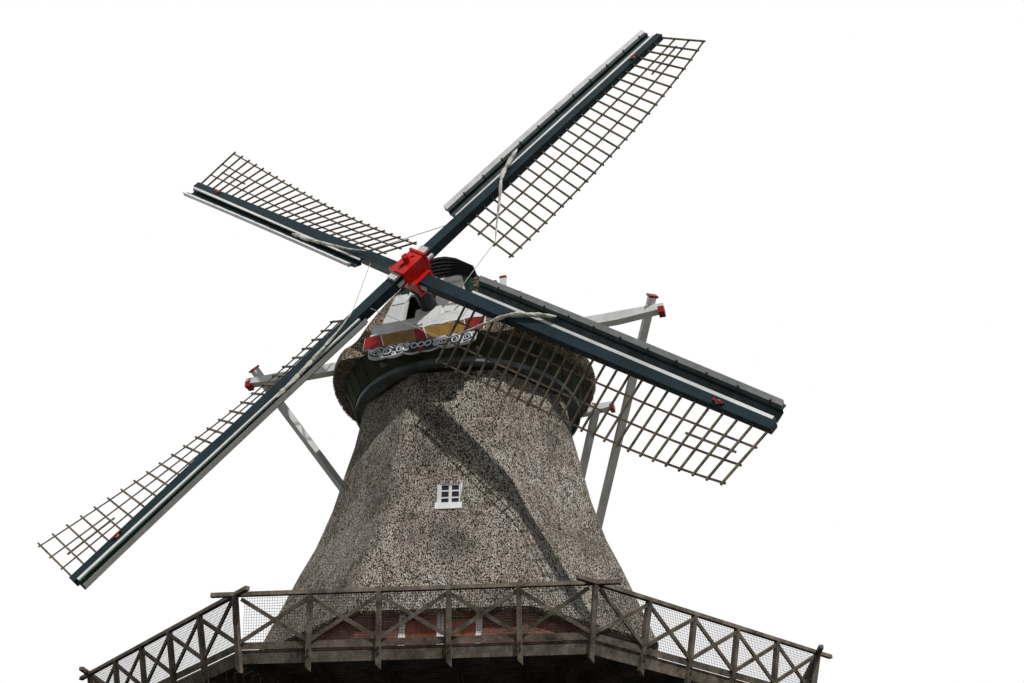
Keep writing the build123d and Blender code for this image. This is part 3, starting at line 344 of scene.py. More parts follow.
# %% [markdown]
# ## Timber
# Two families of timber show: bare oak that has gone silver-brown on the stage and the
# sail laths, and painted timber. Paint is never quite even, so a slow noise darkens it
# where rain runs and a fine one roughens it.

# %% Bare and painted timber
def weathered_timber(name, dark, light, size=0.35, bleached_lit_and_shaded=False):
    """Fine fibres over slow patches, from a dark tone to a light one.

    Fixed timber is also toned by the height part of its faces' normals: pale above, dark below,
    partly as sun bleaching and partly as painted light on top faces and painted shade underneath.
    """
    material, tree = start_finish(name, light, 0.88, 0.2)
    patches, fibres = cloudy(tree, size, 4.0, 0.65), cloudy(tree, 0.03, 3.0, 0.6)
    both = maths(tree, "MULTIPLY_ADD", patches, 0.65, maths(tree, "MULTIPLY", fibres, 0.35))
    colour = ramp(tree, both, (0.34, dark), (0.52, np.add(dark, light) / 2), (0.66, light))
    # Painted light and shade, partly real bleaching: upward faces lightened, downward faces darkened.
    if bleached_lit_and_shaded:
        up = node(tree, "SeparateXYZ", {0: node(tree, "NewGeometry").outputs["Normal"]}).outputs["Z"]
        share = maths(tree, "MULTIPLY_ADD", up, 0.5, 0.5)
        colour = tinted(tree, colour, ramp(
            tree, share, (0.05, (0.22, 0.21, 0.2)), (0.5, (0.88, 0.86, 0.84)), (0.95, (1.3, 1.3, 1.28))))
    surface(tree, colour, fibres, 0.006)
    return material


def painted_timber(name, colour, rough=0.5, grime=0.75, size=0.6, shine=0.4):
    """Paint darkened toward its grimy tone by a slow noise, with a fine ripple of brush and grain."""
    material, tree = start_finish(name, colour, rough, shine)
    patches = cloudy(tree, (size, size, size * 1.5), 5.0, 0.62)
    paint = ramp(tree, patches, (0.38, np.multiply(colour, grime)), (0.6, colour))
    surface(tree, paint, cloudy(tree, 0.05, 2.0), 0.003)
    return material


stage_timber = weathered_timber("stage timber", (0.03, 0.023, 0.017), (0.33, 0.275, 0.215), bleached_lit_and_shaded=True)
# Partly painted shade: joists and struts under the stage wear a much darker copy of the stage timber, for damp
# wood the sun never reaches and for the shade they stand in.
shaded_joist_timber = weathered_timber("joist timber in painted shade", (0.012, 0.009, 0.007), (0.095, 0.076, 0.058), bleached_lit_and_shaded=True)
lath_timber = weathered_timber("lath timber", (0.03, 0.022, 0.015), (0.25, 0.195, 0.135))
inner_timber = weathered_timber("inner timber", (0.1, 0.07, 0.045), (0.3, 0.22, 0.15))
soffit_timber = weathered_timber("soffit boards", (0.008, 0.014, 0.006), (0.07, 0.08, 0.045), 0.5)
tarred_timber = weathered_timber("tarred boards", (0.004, 0.005, 0.005), (0.03, 0.03, 0.028), 0.3)
curb_timber = weathered_timber("curb timber", (0.012, 0.01, 0.008), (0.07, 0.058, 0.045), 0.4)
net_cord = weathered_timber("net cord", (0.035, 0.03, 0.025), (0.15, 0.135, 0.11), 0.1)
rope_fibre = weathered_timber("hemp rope", (0.3, 0.24, 0.16), (0.72, 0.66, 0.54), 0.1)
white_paint = painted_timber("white paint", (0.8, 0.8, 0.77), grime=0.78)
# Partly painted shade: the cap frame's pale grey is darkened to about half, for the shade under the eave.
pale_grey_in_shade = painted_timber("pale grey paint darkened for shade", (0.17, 0.2, 0.2), 0.6, 0.5, shine=0.2)
green_paint = painted_timber("mill green paint", (0.012, 0.03, 0.038), 0.5, 0.6, shine=0.12)
deep_green_paint = painted_timber("deep green paint", (0.01, 0.045, 0.032), 0.5, 0.55, shine=0.15)
red_paint = painted_timber("red paint", (0.34, 0.016, 0.011), 0.5, 0.55, 0.3, 0.2)
ochre_paint = painted_timber("ochre paint", (0.3, 0.17, 0.04), 0.5, 0.6, 0.25, 0.2)
door_varnish = painted_timber("door varnish", (0.32, 0.08, 0.024), 0.45, 0.5, 0.25, 0.25)
# Partly painted shade: the trough boards' grey-green paint is darkened toward the shade in the trough.
trough_paint_with_shade = painted_timber("trough board darkened for shade", (0.055, 0.068, 0.074), 0.6, 0.5, 0.3, 0.15)
# Painted shade: a dark ground for the shade seen through the beard's openwork.
shade_ground_paint = painted_timber("painted shade behind carving", (0.012, 0.018, 0.024), 0.6, 0.6, 0.25, 0.15)
carving_white = painted_timber("carved white", (0.76, 0.78, 0.8), 0.5, 0.65, 0.12)

# %% [markdown]
# ## Iron, brick, glass and sailcloth
# The poll end is cast iron under glossy red paint. The base is brick, laid so that each
# course steps half a brick. The brick pattern needs a coordinate that runs along each
# wall, which is the position measured along the level line of that wall's face.

# %% Iron, brick, glass and sailcloth
BRICK_SPAN, BRICK_ROW = 0.252, 0.077


def painted_iron(name, colour, rough):
    """Glossy paint over rough casting, thinned where a noise peaks."""
    material, tree = start_finish(name, colour, rough, 0.2)
    wear = cloudy(tree, 0.12, 5.0, 0.65)
    paint = ramp(tree, wear, (0.34, np.multiply(colour, 0.55)), (0.46, colour), (0.72, colour))
    surface(tree, paint, cloudy(tree, 0.03, 2.0), 0.004)
    return material


def fired_brick():
    """Courses of 0.24 x 0.065 brick in 0.012 mortar, along the wall's level line and its height."""
    material, tree = start_finish("fired brick", (0.3, 0.1, 0.06), 0.85, 0.25)
    normal = node(tree, "NewGeometry").outputs["Normal"]
    place = node(tree, "TexCoord").outputs["Object"]
    level = maths(tree, "CROSS_PRODUCT", (0.0, 0.0, 1.0), normal, kind="VectorMath")
    level = maths(tree, "NORMALIZE", level, kind="VectorMath")
    along = maths(tree, "DOT_PRODUCT", place, level, kind="VectorMath", output="Value")
    height = node(tree, "SeparateXYZ", {0: place}).outputs["Z"]
    bricks = node(tree, "TexBrick", {
        "Vector": node(tree, "CombineXYZ", {"X": along, "Y": height}).outputs[0], "Scale": 1.0,
        "Color1": (0.225, 0.07, 0.043), "Color2": (0.12, 0.036, 0.026), "Mortar": (0.23, 0.21, 0.185),
        "Mortar Size": 0.006, "Mortar Smooth": 0.2, "Bias": -0.1,
        "Brick Width": BRICK_SPAN, "Row Height": BRICK_ROW,
    })
    weather, specks = cloudy(tree, (0.9, 0.9, 1.4), 5.0, 0.65), cloudy(tree, 0.02, 2.0)
    tone = ramp(tree, weather, (0.32, (0.62, 0.6, 0.6)), (0.58, (1.0, 1.0, 1.0)), (0.74, (1.12, 1.08, 1.04)))
    fine = ramp(tree, specks, (0.3, (0.75, 0.74, 0.73)), (0.6, (1.05, 1.05, 1.05)))
    colour = tinted(tree, tinted(tree, bricks.outputs["Color"], tone), fine)
    surface(tree, colour, maths(tree, "SUBTRACT", 1.0, bricks.outputs["Fac"]), 0.008)
    return material


def clay_face():
    """One brick's face: fired clay with dark and pale specks, and no joints."""
    material, tree = start_finish("single brick", (0.15, 0.045, 0.028), 0.85, 0.25)
    burnt = cloudy(tree, 0.11, 4.0, 0.6)
    colour = ramp(
        tree, burnt, (0.34, (0.085, 0.025, 0.018)), (0.52, (0.155, 0.048, 0.03)), (0.68, (0.215, 0.075, 0.046)))
    surface(tree, colour, cloudy(tree, 0.012, 2.0), 0.002)
    return material


def window_glass():
    """Dark room behind glass: a smooth dark surface, slightly wavy."""
    material, tree = start_finish("window glass", (0.01, 0.014, 0.022), 0.06, 0.22)
    surface(tree, None, cloudy(tree, 0.4, 1.0), 0.004)
    return material


def sailcloth_weave():
    """Off-white canvas: folds' dirt from a slow noise, and a fine weave."""
    material, tree = start_finish("sailcloth", (0.74, 0.7, 0.62), 0.9, 0.5, 0.2)
    dirt = cloudy(tree, 0.25, 5.0, 0.6)
    colour = ramp(tree, dirt, (0.3, (0.34, 0.3, 0.24)), (0.48, (0.62, 0.58, 0.5)), (0.66, (0.8, 0.78, 0.72)))
    weave = node(tree, "TexWave", {"Vector": stretched(tree, 0.012), "Scale": 1.0, "Distortion": 2.0})
    surface(tree, colour, weave.outputs["Fac"], 0.0015)
    return material


red_iron = painted_iron("red iron", (0.62, 0.018, 0.012), 0.32)
black_iron = painted_iron("black iron", (0.02, 0.021, 0.023), 0.45)
brick, single_brick, glass, canvas = fired_brick(), clay_face(), window_glass(), sailcloth_weave()

# %% [markdown]
# ## Finishes on the solid pieces
# Pieces whose solid shape is already right only need their finish. Each row of the table
# holds a finish, the slot of the added pieces that wear it, and the solids that wear it.

# %% Dress the solids
DRESS = (
    (thatch, "thatch", "smock_straight", "smock_slanted"),
    (cap_reed, "thatch", "cap_thatch_left", "cap_thatch_right"),
    (brick, "brick", "base_straight", "base_slanted"),
    (single_brick, "brick"),
    (stage_timber, "weathered_wood", "deck", "corner_posts", *(n for n in nodes if n.startswith("railing_"))),
    (net_cord, "weathered_wood"),
    (shaded_joist_timber, None, "joists", "struts"),
    (inner_timber, None, "floors"),
    (curb_timber, None, "curb_ring"),
    (lath_timber, "lath_wood", "lattice_1", "lattice_2", "lattice_3", "lattice_4"),
    (tarred_timber, "tarred_wood", "hood"),
    (soffit_timber, "dark_green_wood", "cap_soffit"),
    (shade_ground_paint, "dark_green_wood"),
    (deep_green_paint, "dark_green_wood", "boards_outer", "boards_inner"),
    (green_paint, None, "stock_outer", "stock_inner"),
    (pale_grey_in_shade, None, "cap_frame"),
    (white_paint, "white_paint", "beard", "frames", "gable", "weather_beam", "spreaders", "tail_pole",
     "braces", "brake_lever", "wedges"),
    (carving_white, "white_paint"),
    (red_paint, "beard_paint"),
    (ochre_paint, "beard_paint"),
    (trough_paint_with_shade, "board_paint"),
    (door_varnish, "varnished_wood", "door_leaves"),
    (glass, None, "panes"),
    (black_iron, "black_iron", "winch", "windshaft"),
    (red_iron, "red_iron", "poll_end"),
    (canvas, "sailcloth", "cloth_outer", "cloth_inner"),
    (rope_fibre, "sailcloth"),
)
for finish, slot, *names in DRESS:
    for name in names:
        nodes[name].data.materials.clear()
        nodes[name].data.materials.append(finish)
print("dressed", sum(len(row) - 2 for row in DRESS), "of", len(nodes))

# %% [markdown]
# ## Measures of the frame
# The pieces below sit on the solid model, so they use its own measures: the leaning
# brick walls, the flaring thatch, the stage, and the openings in each side.

# %% Measures of the frame
FLAT, HALF_SIDE = math.cos(math.pi / SIDES), math.tan(math.pi / SIDES)
DECK_TOP, DECK_BOARD, DECK_EDGE = 8.1, 0.05, FLAT * 8.82
RAIL_TOP, RAIL_DEEP, LEAN = 9.134, 0.08, math.tan(math.radians(15.5))
THATCH_HEIGHTS = (9.9, 12.0, 12.8, 14.0, 15.25, 16.0, 17.05, 17.35)
THATCH_CORNERS = (5.4, 4.56, 4.2, 3.82, 3.54, 3.36, 3.2, 3.13)
FRAME_WIDE, FRAME_DEEP = 0.07, 0.11
SMOCK_SILL, SMOCK_HIGH = 12.98, 0.7


def base_face(height):
    """How far out the brick face is: it leans in evenly from 5.9 m at the foot to 5.0 m at 10.3 m."""
    return FLAT * (5.9 - 0.9 * height / 10.3)


def thatch_face(height):
    """How far out the thatched face is, read between the measured heights."""
    return FLAT * np.interp(height, THATCH_HEIGHTS, THATCH_CORNERS)


def wall_openings():
    """Each opening's side, how far out its frame's back is, width, height, sill and kind."""
    for side in range(SIDES):
        foot = (0.95, 1.3, 1.3, "window")
        rows = [foot] if side % 4 else [(2.0, 2.5, 0.0, "door"), (1.9, 2.0, DECK_TOP, "door")]
        for width, height, sill, kind in (*rows, (0.95, 1.3, 5.0, "window")):
            yield side, base_face(sill + height) - FRAME_DEEP, width, height, sill, kind
        if side % 2 == 0:
            back = thatch_face(SMOCK_SILL + SMOCK_HIGH) - FRAME_DEEP
            yield side, back, 0.66, SMOCK_HIGH, SMOCK_SILL, "smock window"


OPENINGS = list(wall_openings())
print("openings:", len(OPENINGS), " stage edge:", round(DECK_EDGE, 3), "m from the axis")

# %% [markdown]
# ## Boarding and edges
# The cap's front is all flat boards: cut to an outline, laid side by side and painted.
# One helper gives any four-cornered outline a thickness. A second carries a rectangular
# section along a line, for wavy edges and for the twisting edges of the sails. A third
# closes round lines, such as scrolls and ropes, at both ends.

# %% Helpers for boards, strips and tubes
SEAT = 0.001


def oblong(left, right, low, high):
    """Outline of an upright rectangle, counter-clockwise."""
    return [(left, low), (right, low), (right, high), (left, high)]


def slabs(name, outlines, back, front, finish, place=shaft_place):
    """Boards of the cap from four-cornered outlines, between a back and a front distance."""
    rings = [np.insert(outlines, 2, distance, axis=2) for distance in (back, front)]
    return boxes(name, turned(place, np.concatenate(rings, axis=1)), "cap", finish)


def bars_along(name, sections, body, finish):
    """Bars of many stations: sections[bar, station, corner, xyz], with both ends closed."""
    bars, stations = sections.shape[:2]
    ends = np.array([(3, 2, 1, 0), np.arange(4) + (stations - 1) * 4])
    faces = np.concatenate([ring_faces(stations, 4), ends])
    return new_piece(name, sections, repeated(faces, bars, stations * 4), body, finish)


def shaped_strip(name, x, top, low, back, front, finish):
    """Flat strip of the cap between two curves, its corners going low, top at the back, top, low in front."""
    corners = ((low, back), (top, back), (top, front), (low, front))
    section = np.stack([np.stack(np.broadcast_arrays(x, y, z), axis=-1) for y, z in corners], axis=1)
    return bars_along(name, turned(shaft_place, section)[None], "cap", finish)


def closed_tubes(name, tubes, body, finish):
    """Tubes of one size in one piece: tubes[tube, ring, corner, xyz], each end closed by strips across."""
    count, rings, around, _ = np.shape(tubes)
    strips = np.array([(k + 1, k, around - 1 - k, around - 2 - k) for k in range(around // 2 - 1)])
    faces = np.concatenate([ring_faces(rings, around), strips, strips[:, ::-1] + (rings - 1) * around])
    return new_piece(name, tubes, repeated(faces, count, rings * around), body, finish, smooth=True)


def bolts(name, spots, places, body, wide=0.05, high=0.025, finish=black_iron):
    """Hexagon nuts at each place: six corners round the centre of each spot, standing out along its way."""
    centres = np.concatenate([turned(place, [centre for centre, way in spots]) for place in places])
    ways = unit(np.concatenate([swung(place, [way for centre, way in spots]) for place in places]))
    helper = np.where(np.abs(ways[:, 2:]) > 0.9, (1.0, 0.0, 0.0), (0.0, 0.0, 1.0))
    first = unit(np.cross(ways, helper))
    turn = np.arange(6)[:, None] * math.pi / 3
    ring = first[:, None] * np.cos(turn) + np.cross(ways, first)[:, None] * np.sin(turn)
    foot = centres[:, None] + ring * wide / 2
    sides = [(k, (k + 1) % 6, 6 + (k + 1) % 6, 6 + k) for k in range(6)]
    faces = np.array([*sides, (6, 7, 8, 9), (6, 9, 10, 11), (3, 2, 1, 0), (5, 4, 3, 0)])
    points = np.concatenate([foot, foot + (ways * high)[:, None]], axis=1)
    return new_piece(name, points, repeated(faces, len(points), 12), body, finish)

# %% [markdown]
# ## The stage's boards, net and bolts
# The stage is laid with boards that run along each side and meet in a mitre on the hips.
# Narrow gaps let the rain through, and from below they show as lines of light. A net of
# thin cord in 5 cm squares closes the railing. Two iron bolts hold each post to the edge.

# %% Stage boards, railing net and bolts
BOARD_ROWS, BOARD_GAP = 17, 0.016
NET_SQUARE, NET_CORD, NET_INSET = 0.05, 0.005, 0.004


def board_corners():
    """Mitred boards of one side: each ends where its distance out times tan 22.5 degrees says."""
    low = DECK_TOP - DECK_BOARD
    edges = np.linspace(base_face(low) + 0.008, DECK_EDGE - DECK_BOARD * LEAN, BOARD_ROWS + 1)
    near, far = edges[:-1] + BOARD_GAP / 2, edges[1:] - BOARD_GAP / 2
    return np.array([
        (way * (out * HALF_SIDE - BOARD_GAP / 2), np.full(BOARD_ROWS, height), out)
        for height in (low, DECK_TOP) for out, way in ((far, -1), (far, 1), (near, 1), (near, -1))
    ]).transpose(2, 0, 1)


def net_rows():
    """Straight cords both ways in the leaning plane of one panel, inside its posts and rail."""
    edge = DECK_EDGE - NET_INSET
    half, low, high = edge * HALF_SIDE - 0.05, DECK_TOP + 0.13, RAIL_TOP - RAIL_DEEP

    def spot(along, height):
        """A point of the panel: along it, and out by the lean times the height over the deck."""
        return along, height, edge + (height - DECK_TOP) * LEAN

    for along in np.arange(-half, half, NET_SQUARE):
        yield spot(along, low), spot(along, high), (1, 0, 0), NET_CORD, NET_CORD
    for height in np.arange(low, high, NET_SQUARE):
        yield spot(-half, height), spot(half, height), (0, 1, 0), NET_CORD, NET_CORD


deck_boards = boxes(
    "stage_boards", np.concatenate([turned(wall, board_corners()) for wall in WALLS]), "tower", stage_timber)
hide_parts("deck")
timbers("railing_net", carried(list(net_rows()), *WALLS), "tower", net_cord)
bay = 2 * DECK_EDGE * HALF_SIDE / 5
bolts("stage_bolts", [
    ((bay * post, DECK_TOP - drop, DECK_EDGE + 0.098 - drop * LEAN), (0, -LEAN, 1))
    for post in (-1.5, -0.5, 0.5, 1.5) for drop in (0.06, 0.16)
], WALLS, "tower")

# %% [markdown]
# ## Windows and doors
# Every window is a small sash of two by three panes with thin bars, painted white. The
# doors are upright boards in a white border, hung on long iron straps. These are all
# straight timbers, so lists of their ends in each wall's own directions make them.

# %% Sashes, glazing bars and doors
PANE_FRONT, LEAF_FRONT = FRAME_DEEP / 3 + 0.012, FRAME_DEEP / 3 + 0.05
SASH_WIDE, SASH_DEEP, STILE_WIDE = 0.038, 0.04, 0.075


def upright(x, low, high, out, wide, deep):
    """Row of a standing timber, at x and out, between two heights."""
    return (x, low, out), (x, high, out), (1, 0, 0), wide, deep


def level(y, left, right, out, wide, deep):
    """Row of a lying timber, at a height and out, from left to right."""
    return (left, y, out), (right, y, out), (0, 1, 0), wide, deep


def sash(low, high, half, front, casement):
    """A border of two stiles and two rails, one upright bar and two level ones at the thirds of its height."""
    middle = front + SASH_DEEP / 2
    for x in (SASH_WIDE / 2 - half, half - SASH_WIDE / 2):
        yield upright(x, low, high, middle, SASH_WIDE, SASH_DEEP)
    for y in (low + SASH_WIDE / 2, high - SASH_WIDE / 2):
        yield level(y, SASH_WIDE - half, half - SASH_WIDE, middle, SASH_WIDE, SASH_DEEP)
    yield upright(0, low, high, front + 0.014, 0.076 if casement else 0.026, 0.028)
    for third in (1, 2):
        y = low + (high - low) * third / 3
        yield level(y, -half, half, front + 0.012, 0.036 if casement else 0.022, 0.024)


white_rows, apron_rows, board_rows, strap_rows, knobs = [], [], [], [], []
for side, back, width, height, sill, kind in OPENINGS:
    half, wall, casement = width / 2 - FRAME_WIDE, WALLS[side], kind == "smock window"
    if casement:
        y, fall = sill - 0.1, (thatch_face(sill) - thatch_face(sill - 0.2)) / 0.2
        out = thatch_face(y) + 0.012
        apron_rows += carried([((-0.335, y, out), (0.335, y, out), (0, 1, fall), 0.2, 0.05)], wall)
    if kind != "door":
        low, high = sill + FRAME_WIDE, sill + height - FRAME_WIDE
        white_rows += carried(sash(low, high, half, back + PANE_FRONT, casement), wall)
        continue
    low, high, front = sill + 0.012, sill + height - FRAME_WIDE - 0.006, back + LEAF_FRONT - SEAT
    clear = np.linspace(STILE_WIDE + 0.006, half - STILE_WIDE - 0.006, 7)
    for way in (-1, 1):
        white_rows += carried([
            upright(way * x, low, high, front + 0.011, STILE_WIDE, 0.022)
            for x in (STILE_WIDE / 2 + 0.006, half - STILE_WIDE / 2 - 0.006)
        ], wall)
        board_rows += carried([
            upright(way * (start + end) / 2, low, high, front + 0.007, end - start - 0.005, 0.014)
            for start, end in zip(clear[:-1], clear[1:])
        ], wall)
        strap_rows += carried([
            level(y, way * half, way * half * 0.28, front + 0.026, 0.055, 0.008)
            for y in (low + 0.28, (low + high) / 2, high - 0.25)
        ], wall)
        knobs.append((turned(wall, (way * 0.05, sill + 1.05, front + 0.022)), wall[:3, 2]))
timbers("sashes", white_rows, "tower", white_paint)
timbers("window_aprons", apron_rows, "tower", white_paint)
timbers("door_boards", board_rows, "tower", door_varnish)
timbers("door_straps", strap_rows, "tower", black_iron)
bolts("door_knobs", knobs, [np.eye(4)], "tower", 0.07, 0.05)

# %% [markdown]
# ## Brickwork over the openings and at the foot
# A brick wall carries the load over an opening on a row of bricks set on end. At the
# foot a tarred band keeps the splashes off, under one more such row. All lean with the
# wall, by 0.09 m in each metre of corner, so their ends are read from the wall's line.

# %% Soldier courses and tarred foot
BRICK_WIDE, FOOT_MIDDLE, FOOT_HIGH, FOOT_DEEP = 0.065, 0.306, 0.606, 0.036
DOOR_CLEAR = 1.0


def soldier(x, low, high, seat_low, seat_high, fan=0.0):
    """Row of a brick set on end: sunk in the wall's face by its two seats, its top fanned aside."""
    foot, head = (x, low, base_face(low) - seat_low), (x + fan, high, base_face(high) - seat_high)
    return foot, head, (1, 0, 0), BRICK_WIDE, BRICK_WIDE


course_rows, foot_rows = [], []
for side, back, width, height, sill, kind in OPENINGS:
    top = sill + height
    if kind == "smock window" or top > THATCH_HEIGHTS[0]:
        continue
    count = int((width + 0.24) / BRICK_ROW)
    course_rows += carried([
        soldier((place - (count - 1) / 2) * BRICK_ROW, top + 0.006, top + 0.226, 0.02, 0.02, fan)
        for place, fan in enumerate(np.linspace(-0.07, 0.07, count))
    ], WALLS[side])
for side, wall in enumerate(WALLS):
    course_rows += carried([
        soldier(x, 0.62, 0.84, 0.012, 0.022) for x in np.arange(-25, 26) * BRICK_ROW if side % 4 or abs(x) >= 1.04
    ], wall)
    corner, out = base_face(0.3) * HALF_SIDE + 0.004, base_face(FOOT_MIDDLE)
    foot_rows += carried([
        ((start, FOOT_MIDDLE, out), (end, FOOT_MIDDLE, out), (0, 1, -0.0807), FOOT_HIGH, FOOT_DEEP)
        for start, end in ([(-corner, corner)] if side % 4 else [(-corner, -DOOR_CLEAR), (DOOR_CLEAR, corner)])
    ], wall)
timbers("soldier_courses", course_rows, "tower", single_brick)
timbers("tarred_foot", foot_rows, "tower", tarred_timber)

# %% [markdown]
# ## The cap's front: boards, hatch and posts
# Behind the sails a boarded wall closes the cap. Dark green posts stand at its sides,
# and the hatch beside the windshaft hangs open, its leaf turned flat against the left
# post. The boards run upright, 0.11 m wide, and each is cut to the posts' slope.

# %% Gable boards, posts and hatch leaf
GABLE_FRONT, GABLE_POST_FRONT, LEAF_FACE = -1.6, -1.54, -1.5
BEAM_TOP_LINE, HEAD_LINE, HEAD_TOP = -0.44, 1.18, 1.41


def clipped_boards(edges, low, high, gap):
    """Board outlines between neighbouring edges, from low(x) to high(x), narrowed by the gap."""
    left, right = edges[:-1] + gap / 2, edges[1:] - gap / 2
    foot = low((left + right) / 2)
    corners = ((left, foot), (right, foot), (right, high(right)), (left, high(left)))
    outlines = np.stack([np.column_stack(np.broadcast_arrays(*corner)) for corner in corners], axis=1)
    return outlines[outlines[:, 2:, 1].min(1) > foot + 0.04]


def post_line(x):
    """Height at which the post's inner edge stands over x: it leans in 0.284 m for each metre up."""
    return np.minimum(HEAD_LINE, BEAM_TOP_LINE + (1.21 - np.abs(x)) / 0.284)


def wall_foot(x):
    """Foot of the wall's boards: on the beam, over the open hatch, or over the shaft's hole."""
    over_hatch = np.where(x < 0, 1.0, np.where(x < 0.33, 0.32, BEAM_TOP_LINE))
    return np.where(x < -0.88, BEAM_TOP_LINE, over_hatch)


columns = np.arange(-11, 12) * 0.11
gable = clipped_boards(columns, wall_foot, post_line, 0.006)
head = clipped_boards(columns[4:-4], lambda x: HEAD_LINE + 0.01 + 0 * x, lambda x: HEAD_TOP, 0.006)
leaf = clipped_boards(
    np.linspace(-1.5, -0.88, 6), lambda x: -0.398 + 0 * x,
    lambda x: np.minimum(0.958, -0.1 + (x + 1.498) * 4.24), 0.007)
right_post = [(1.204, -0.437), (1.476, -0.437), (1.016, 1.437), (0.744, 1.437)]
left_post = [(-1.476, -0.437), (-1.204, -0.437), (-0.744, 1.437), (-1.016, 1.437)]
slabs("gable_boards", gable, GABLE_FRONT - SEAT, GABLE_FRONT + 0.014, white_paint)
slabs("gable_head_boards", head, GABLE_POST_FRONT - SEAT, GABLE_POST_FRONT + 0.012, white_paint)
slabs("gable_posts", [right_post, left_post], GABLE_FRONT, GABLE_POST_FRONT + 0.004, deep_green_paint)
slabs("hatch_boards", leaf, LEAF_FACE - SEAT, LEAF_FACE + 0.012, white_paint)
slabs("hatch_ledges", [oblong(-1.46, -0.9, -0.26, -0.17), oblong(-1.3, -0.9, 0.56, 0.65)],
      LEAF_FACE, LEAF_FACE + 0.034, white_paint)

# %% [markdown]
# ## Weather beam and its edge
# The great cross beam under the windshaft is cased in boards. A strip with a wavy lower
# edge covers the seam where the beard hangs from it.

# %% Beam boards and wavy strip
BEAM_FRONT, BEARD_FRONT = -1.26, -1.2
BEAM_ROWS = (
    (-0.535, -0.443, (-1.64, -0.99, -0.38, 0.09)), (-0.535, -0.443, (0.68, 1.64)),
    (-0.735, -0.541, (-1.64, -0.64, 0.28, 0.92, 1.64)), (-0.94, -0.741, (-1.64, -1.1, 0.02, 1.2, 1.64)),
)
slabs("beam_boards", [
    oblong(start + 0.004, end - 0.004, low, high)
    for low, high, joints in BEAM_ROWS for start, end in zip(joints[:-1], joints[1:])
], BEAM_FRONT - SEAT, BEAM_FRONT + 0.02, white_paint)
along = np.linspace(-1.62, 1.62, 163)
wave = -0.965 + 0.05 * np.abs(np.sin(np.pi * along / 0.54))
shaped_strip("beam_edge", along, -0.9, wave, BEARD_FRONT, BEARD_FRONT + 0.022, white_paint)
batten = level(-0.92, -1.62, 1.62, BEARD_FRONT - 0.022, 0.036, 0.045)
timbers("beam_edge_batten", carried([batten], shaft_place), "cap", white_paint)

# %% [markdown]
# ## The beard
# The beard is the painted board under the weather beam. Red ends and a red middle frame
# two ochre fields, parted by thin slanting white lines. Millers often paint a date there.
# This mill carries only a plain scroll, and below it hangs an openwork of white scrolls,
# rings and a red drop, before a dark ground that paints the shade seen through the openwork.

# %% Beard fields and carving
FIELD_TOP, FIELD_LOW = -0.95, -1.425
FIELDS = (
    ("beard_red_fields", 0.008, red_paint, (
        (-1.765, -1.765, -1.15, -1.31), (-0.195, -0.31, 0.14, -0.05), (1.285, 1.18, 1.765, 1.765))),
    ("beard_ochre_fields", 0.005, ochre_paint, ((-1.125, -1.285, -0.205, -0.32), (0.175, -0.01, 1.275, 1.17))),
    ("beard_lines", 0.016, white_paint, (
        (-1.152, -1.312, -1.122, -1.282), (0.14, -0.048, 0.176, -0.012), (1.268, 1.163, 1.292, 1.187))),
)
CARVING_X = (-1.56, -1.04, -0.52, 0.0, 0.52, 1.04, 1.56)
CARVING_LOW = (-1.76, -1.84, -1.8, -1.84, -1.8, -1.84, -1.76)
SCROLLS = (
    (-1.32, -1.655, 0.15, 200, 1.7, -1), (-0.985, -1.66, 0.165, 20, 1.7, 1), (-0.64, -1.64, 0.15, 160, 1.7, -1),
    (-1.15, -1.79, 0.07, 60, 1.3, 1), (-0.8, -1.8, 0.075, 120, 1.3, -1), (-0.43, -1.69, 0.09, 180, 1.4, 1),
    (-1.5, -1.56, 0.06, 300, 1.3, 1), (-0.395, -1.52, 0.06, 90, 1.3, 1),
)
STEMS = (
    ((-1.55, -1.7), (-1.47, -1.78), (-1.3, -1.84), (-1.1, -1.875), (-0.85, -1.88), (-0.62, -1.84), (-0.52, -1.79)),
    ((-1.47, -1.66), (-1.4, -1.5), (-1.22, -1.47), (-1.09, -1.56), (-0.99, -1.48), (-0.83, -1.47), (-0.76, -1.55)),
    ((-0.76, -1.55), (-0.66, -1.47), (-0.52, -1.48), (-0.47, -1.56), (-0.4, -1.6), (-0.32, -1.53), (-0.22, -1.5)),
)


def bead(flat, out, thick, thin):
    """Bead along a flat curve: a six-sided tube whose thickness runs evenly from one end to the other."""
    path = np.insert(flat, 2, BEARD_FRONT + out, axis=1)
    return tube_points(path, np.linspace(thick, thin, len(path)))


def scroll(x, y, size, start, turns, way):
    """Bead along a spiral: its radius shrinks evenly to a fifth while the angle turns."""
    share = np.linspace(0, 1, 30)
    turn = math.radians(start) + way * 2 * math.pi * turns * share
    radius = size * (1 - 0.8 * share)
    return bead(np.column_stack([x + radius * np.cos(turn), y + radius * np.sin(turn)]), 0.014, 0.03, 0.014)


for name, thick, finish, fields in FIELDS:
    outlines = [
        [(foot_a, FIELD_LOW), (foot_b, FIELD_LOW), (top_b, FIELD_TOP), (top_a, FIELD_TOP)]
        for foot_a, top_a, foot_b, top_b in fields
    ]
    slabs(name, outlines, BEARD_FRONT - SEAT, BEARD_FRONT + thick, finish)

across = np.linspace(-1.55, 1.55, 125)
share = (across + 1.56) / 0.52 % 1
carving_edge = np.interp(across, CARVING_X, CARVING_LOW) - 0.07 * 4 * share * (1 - share)
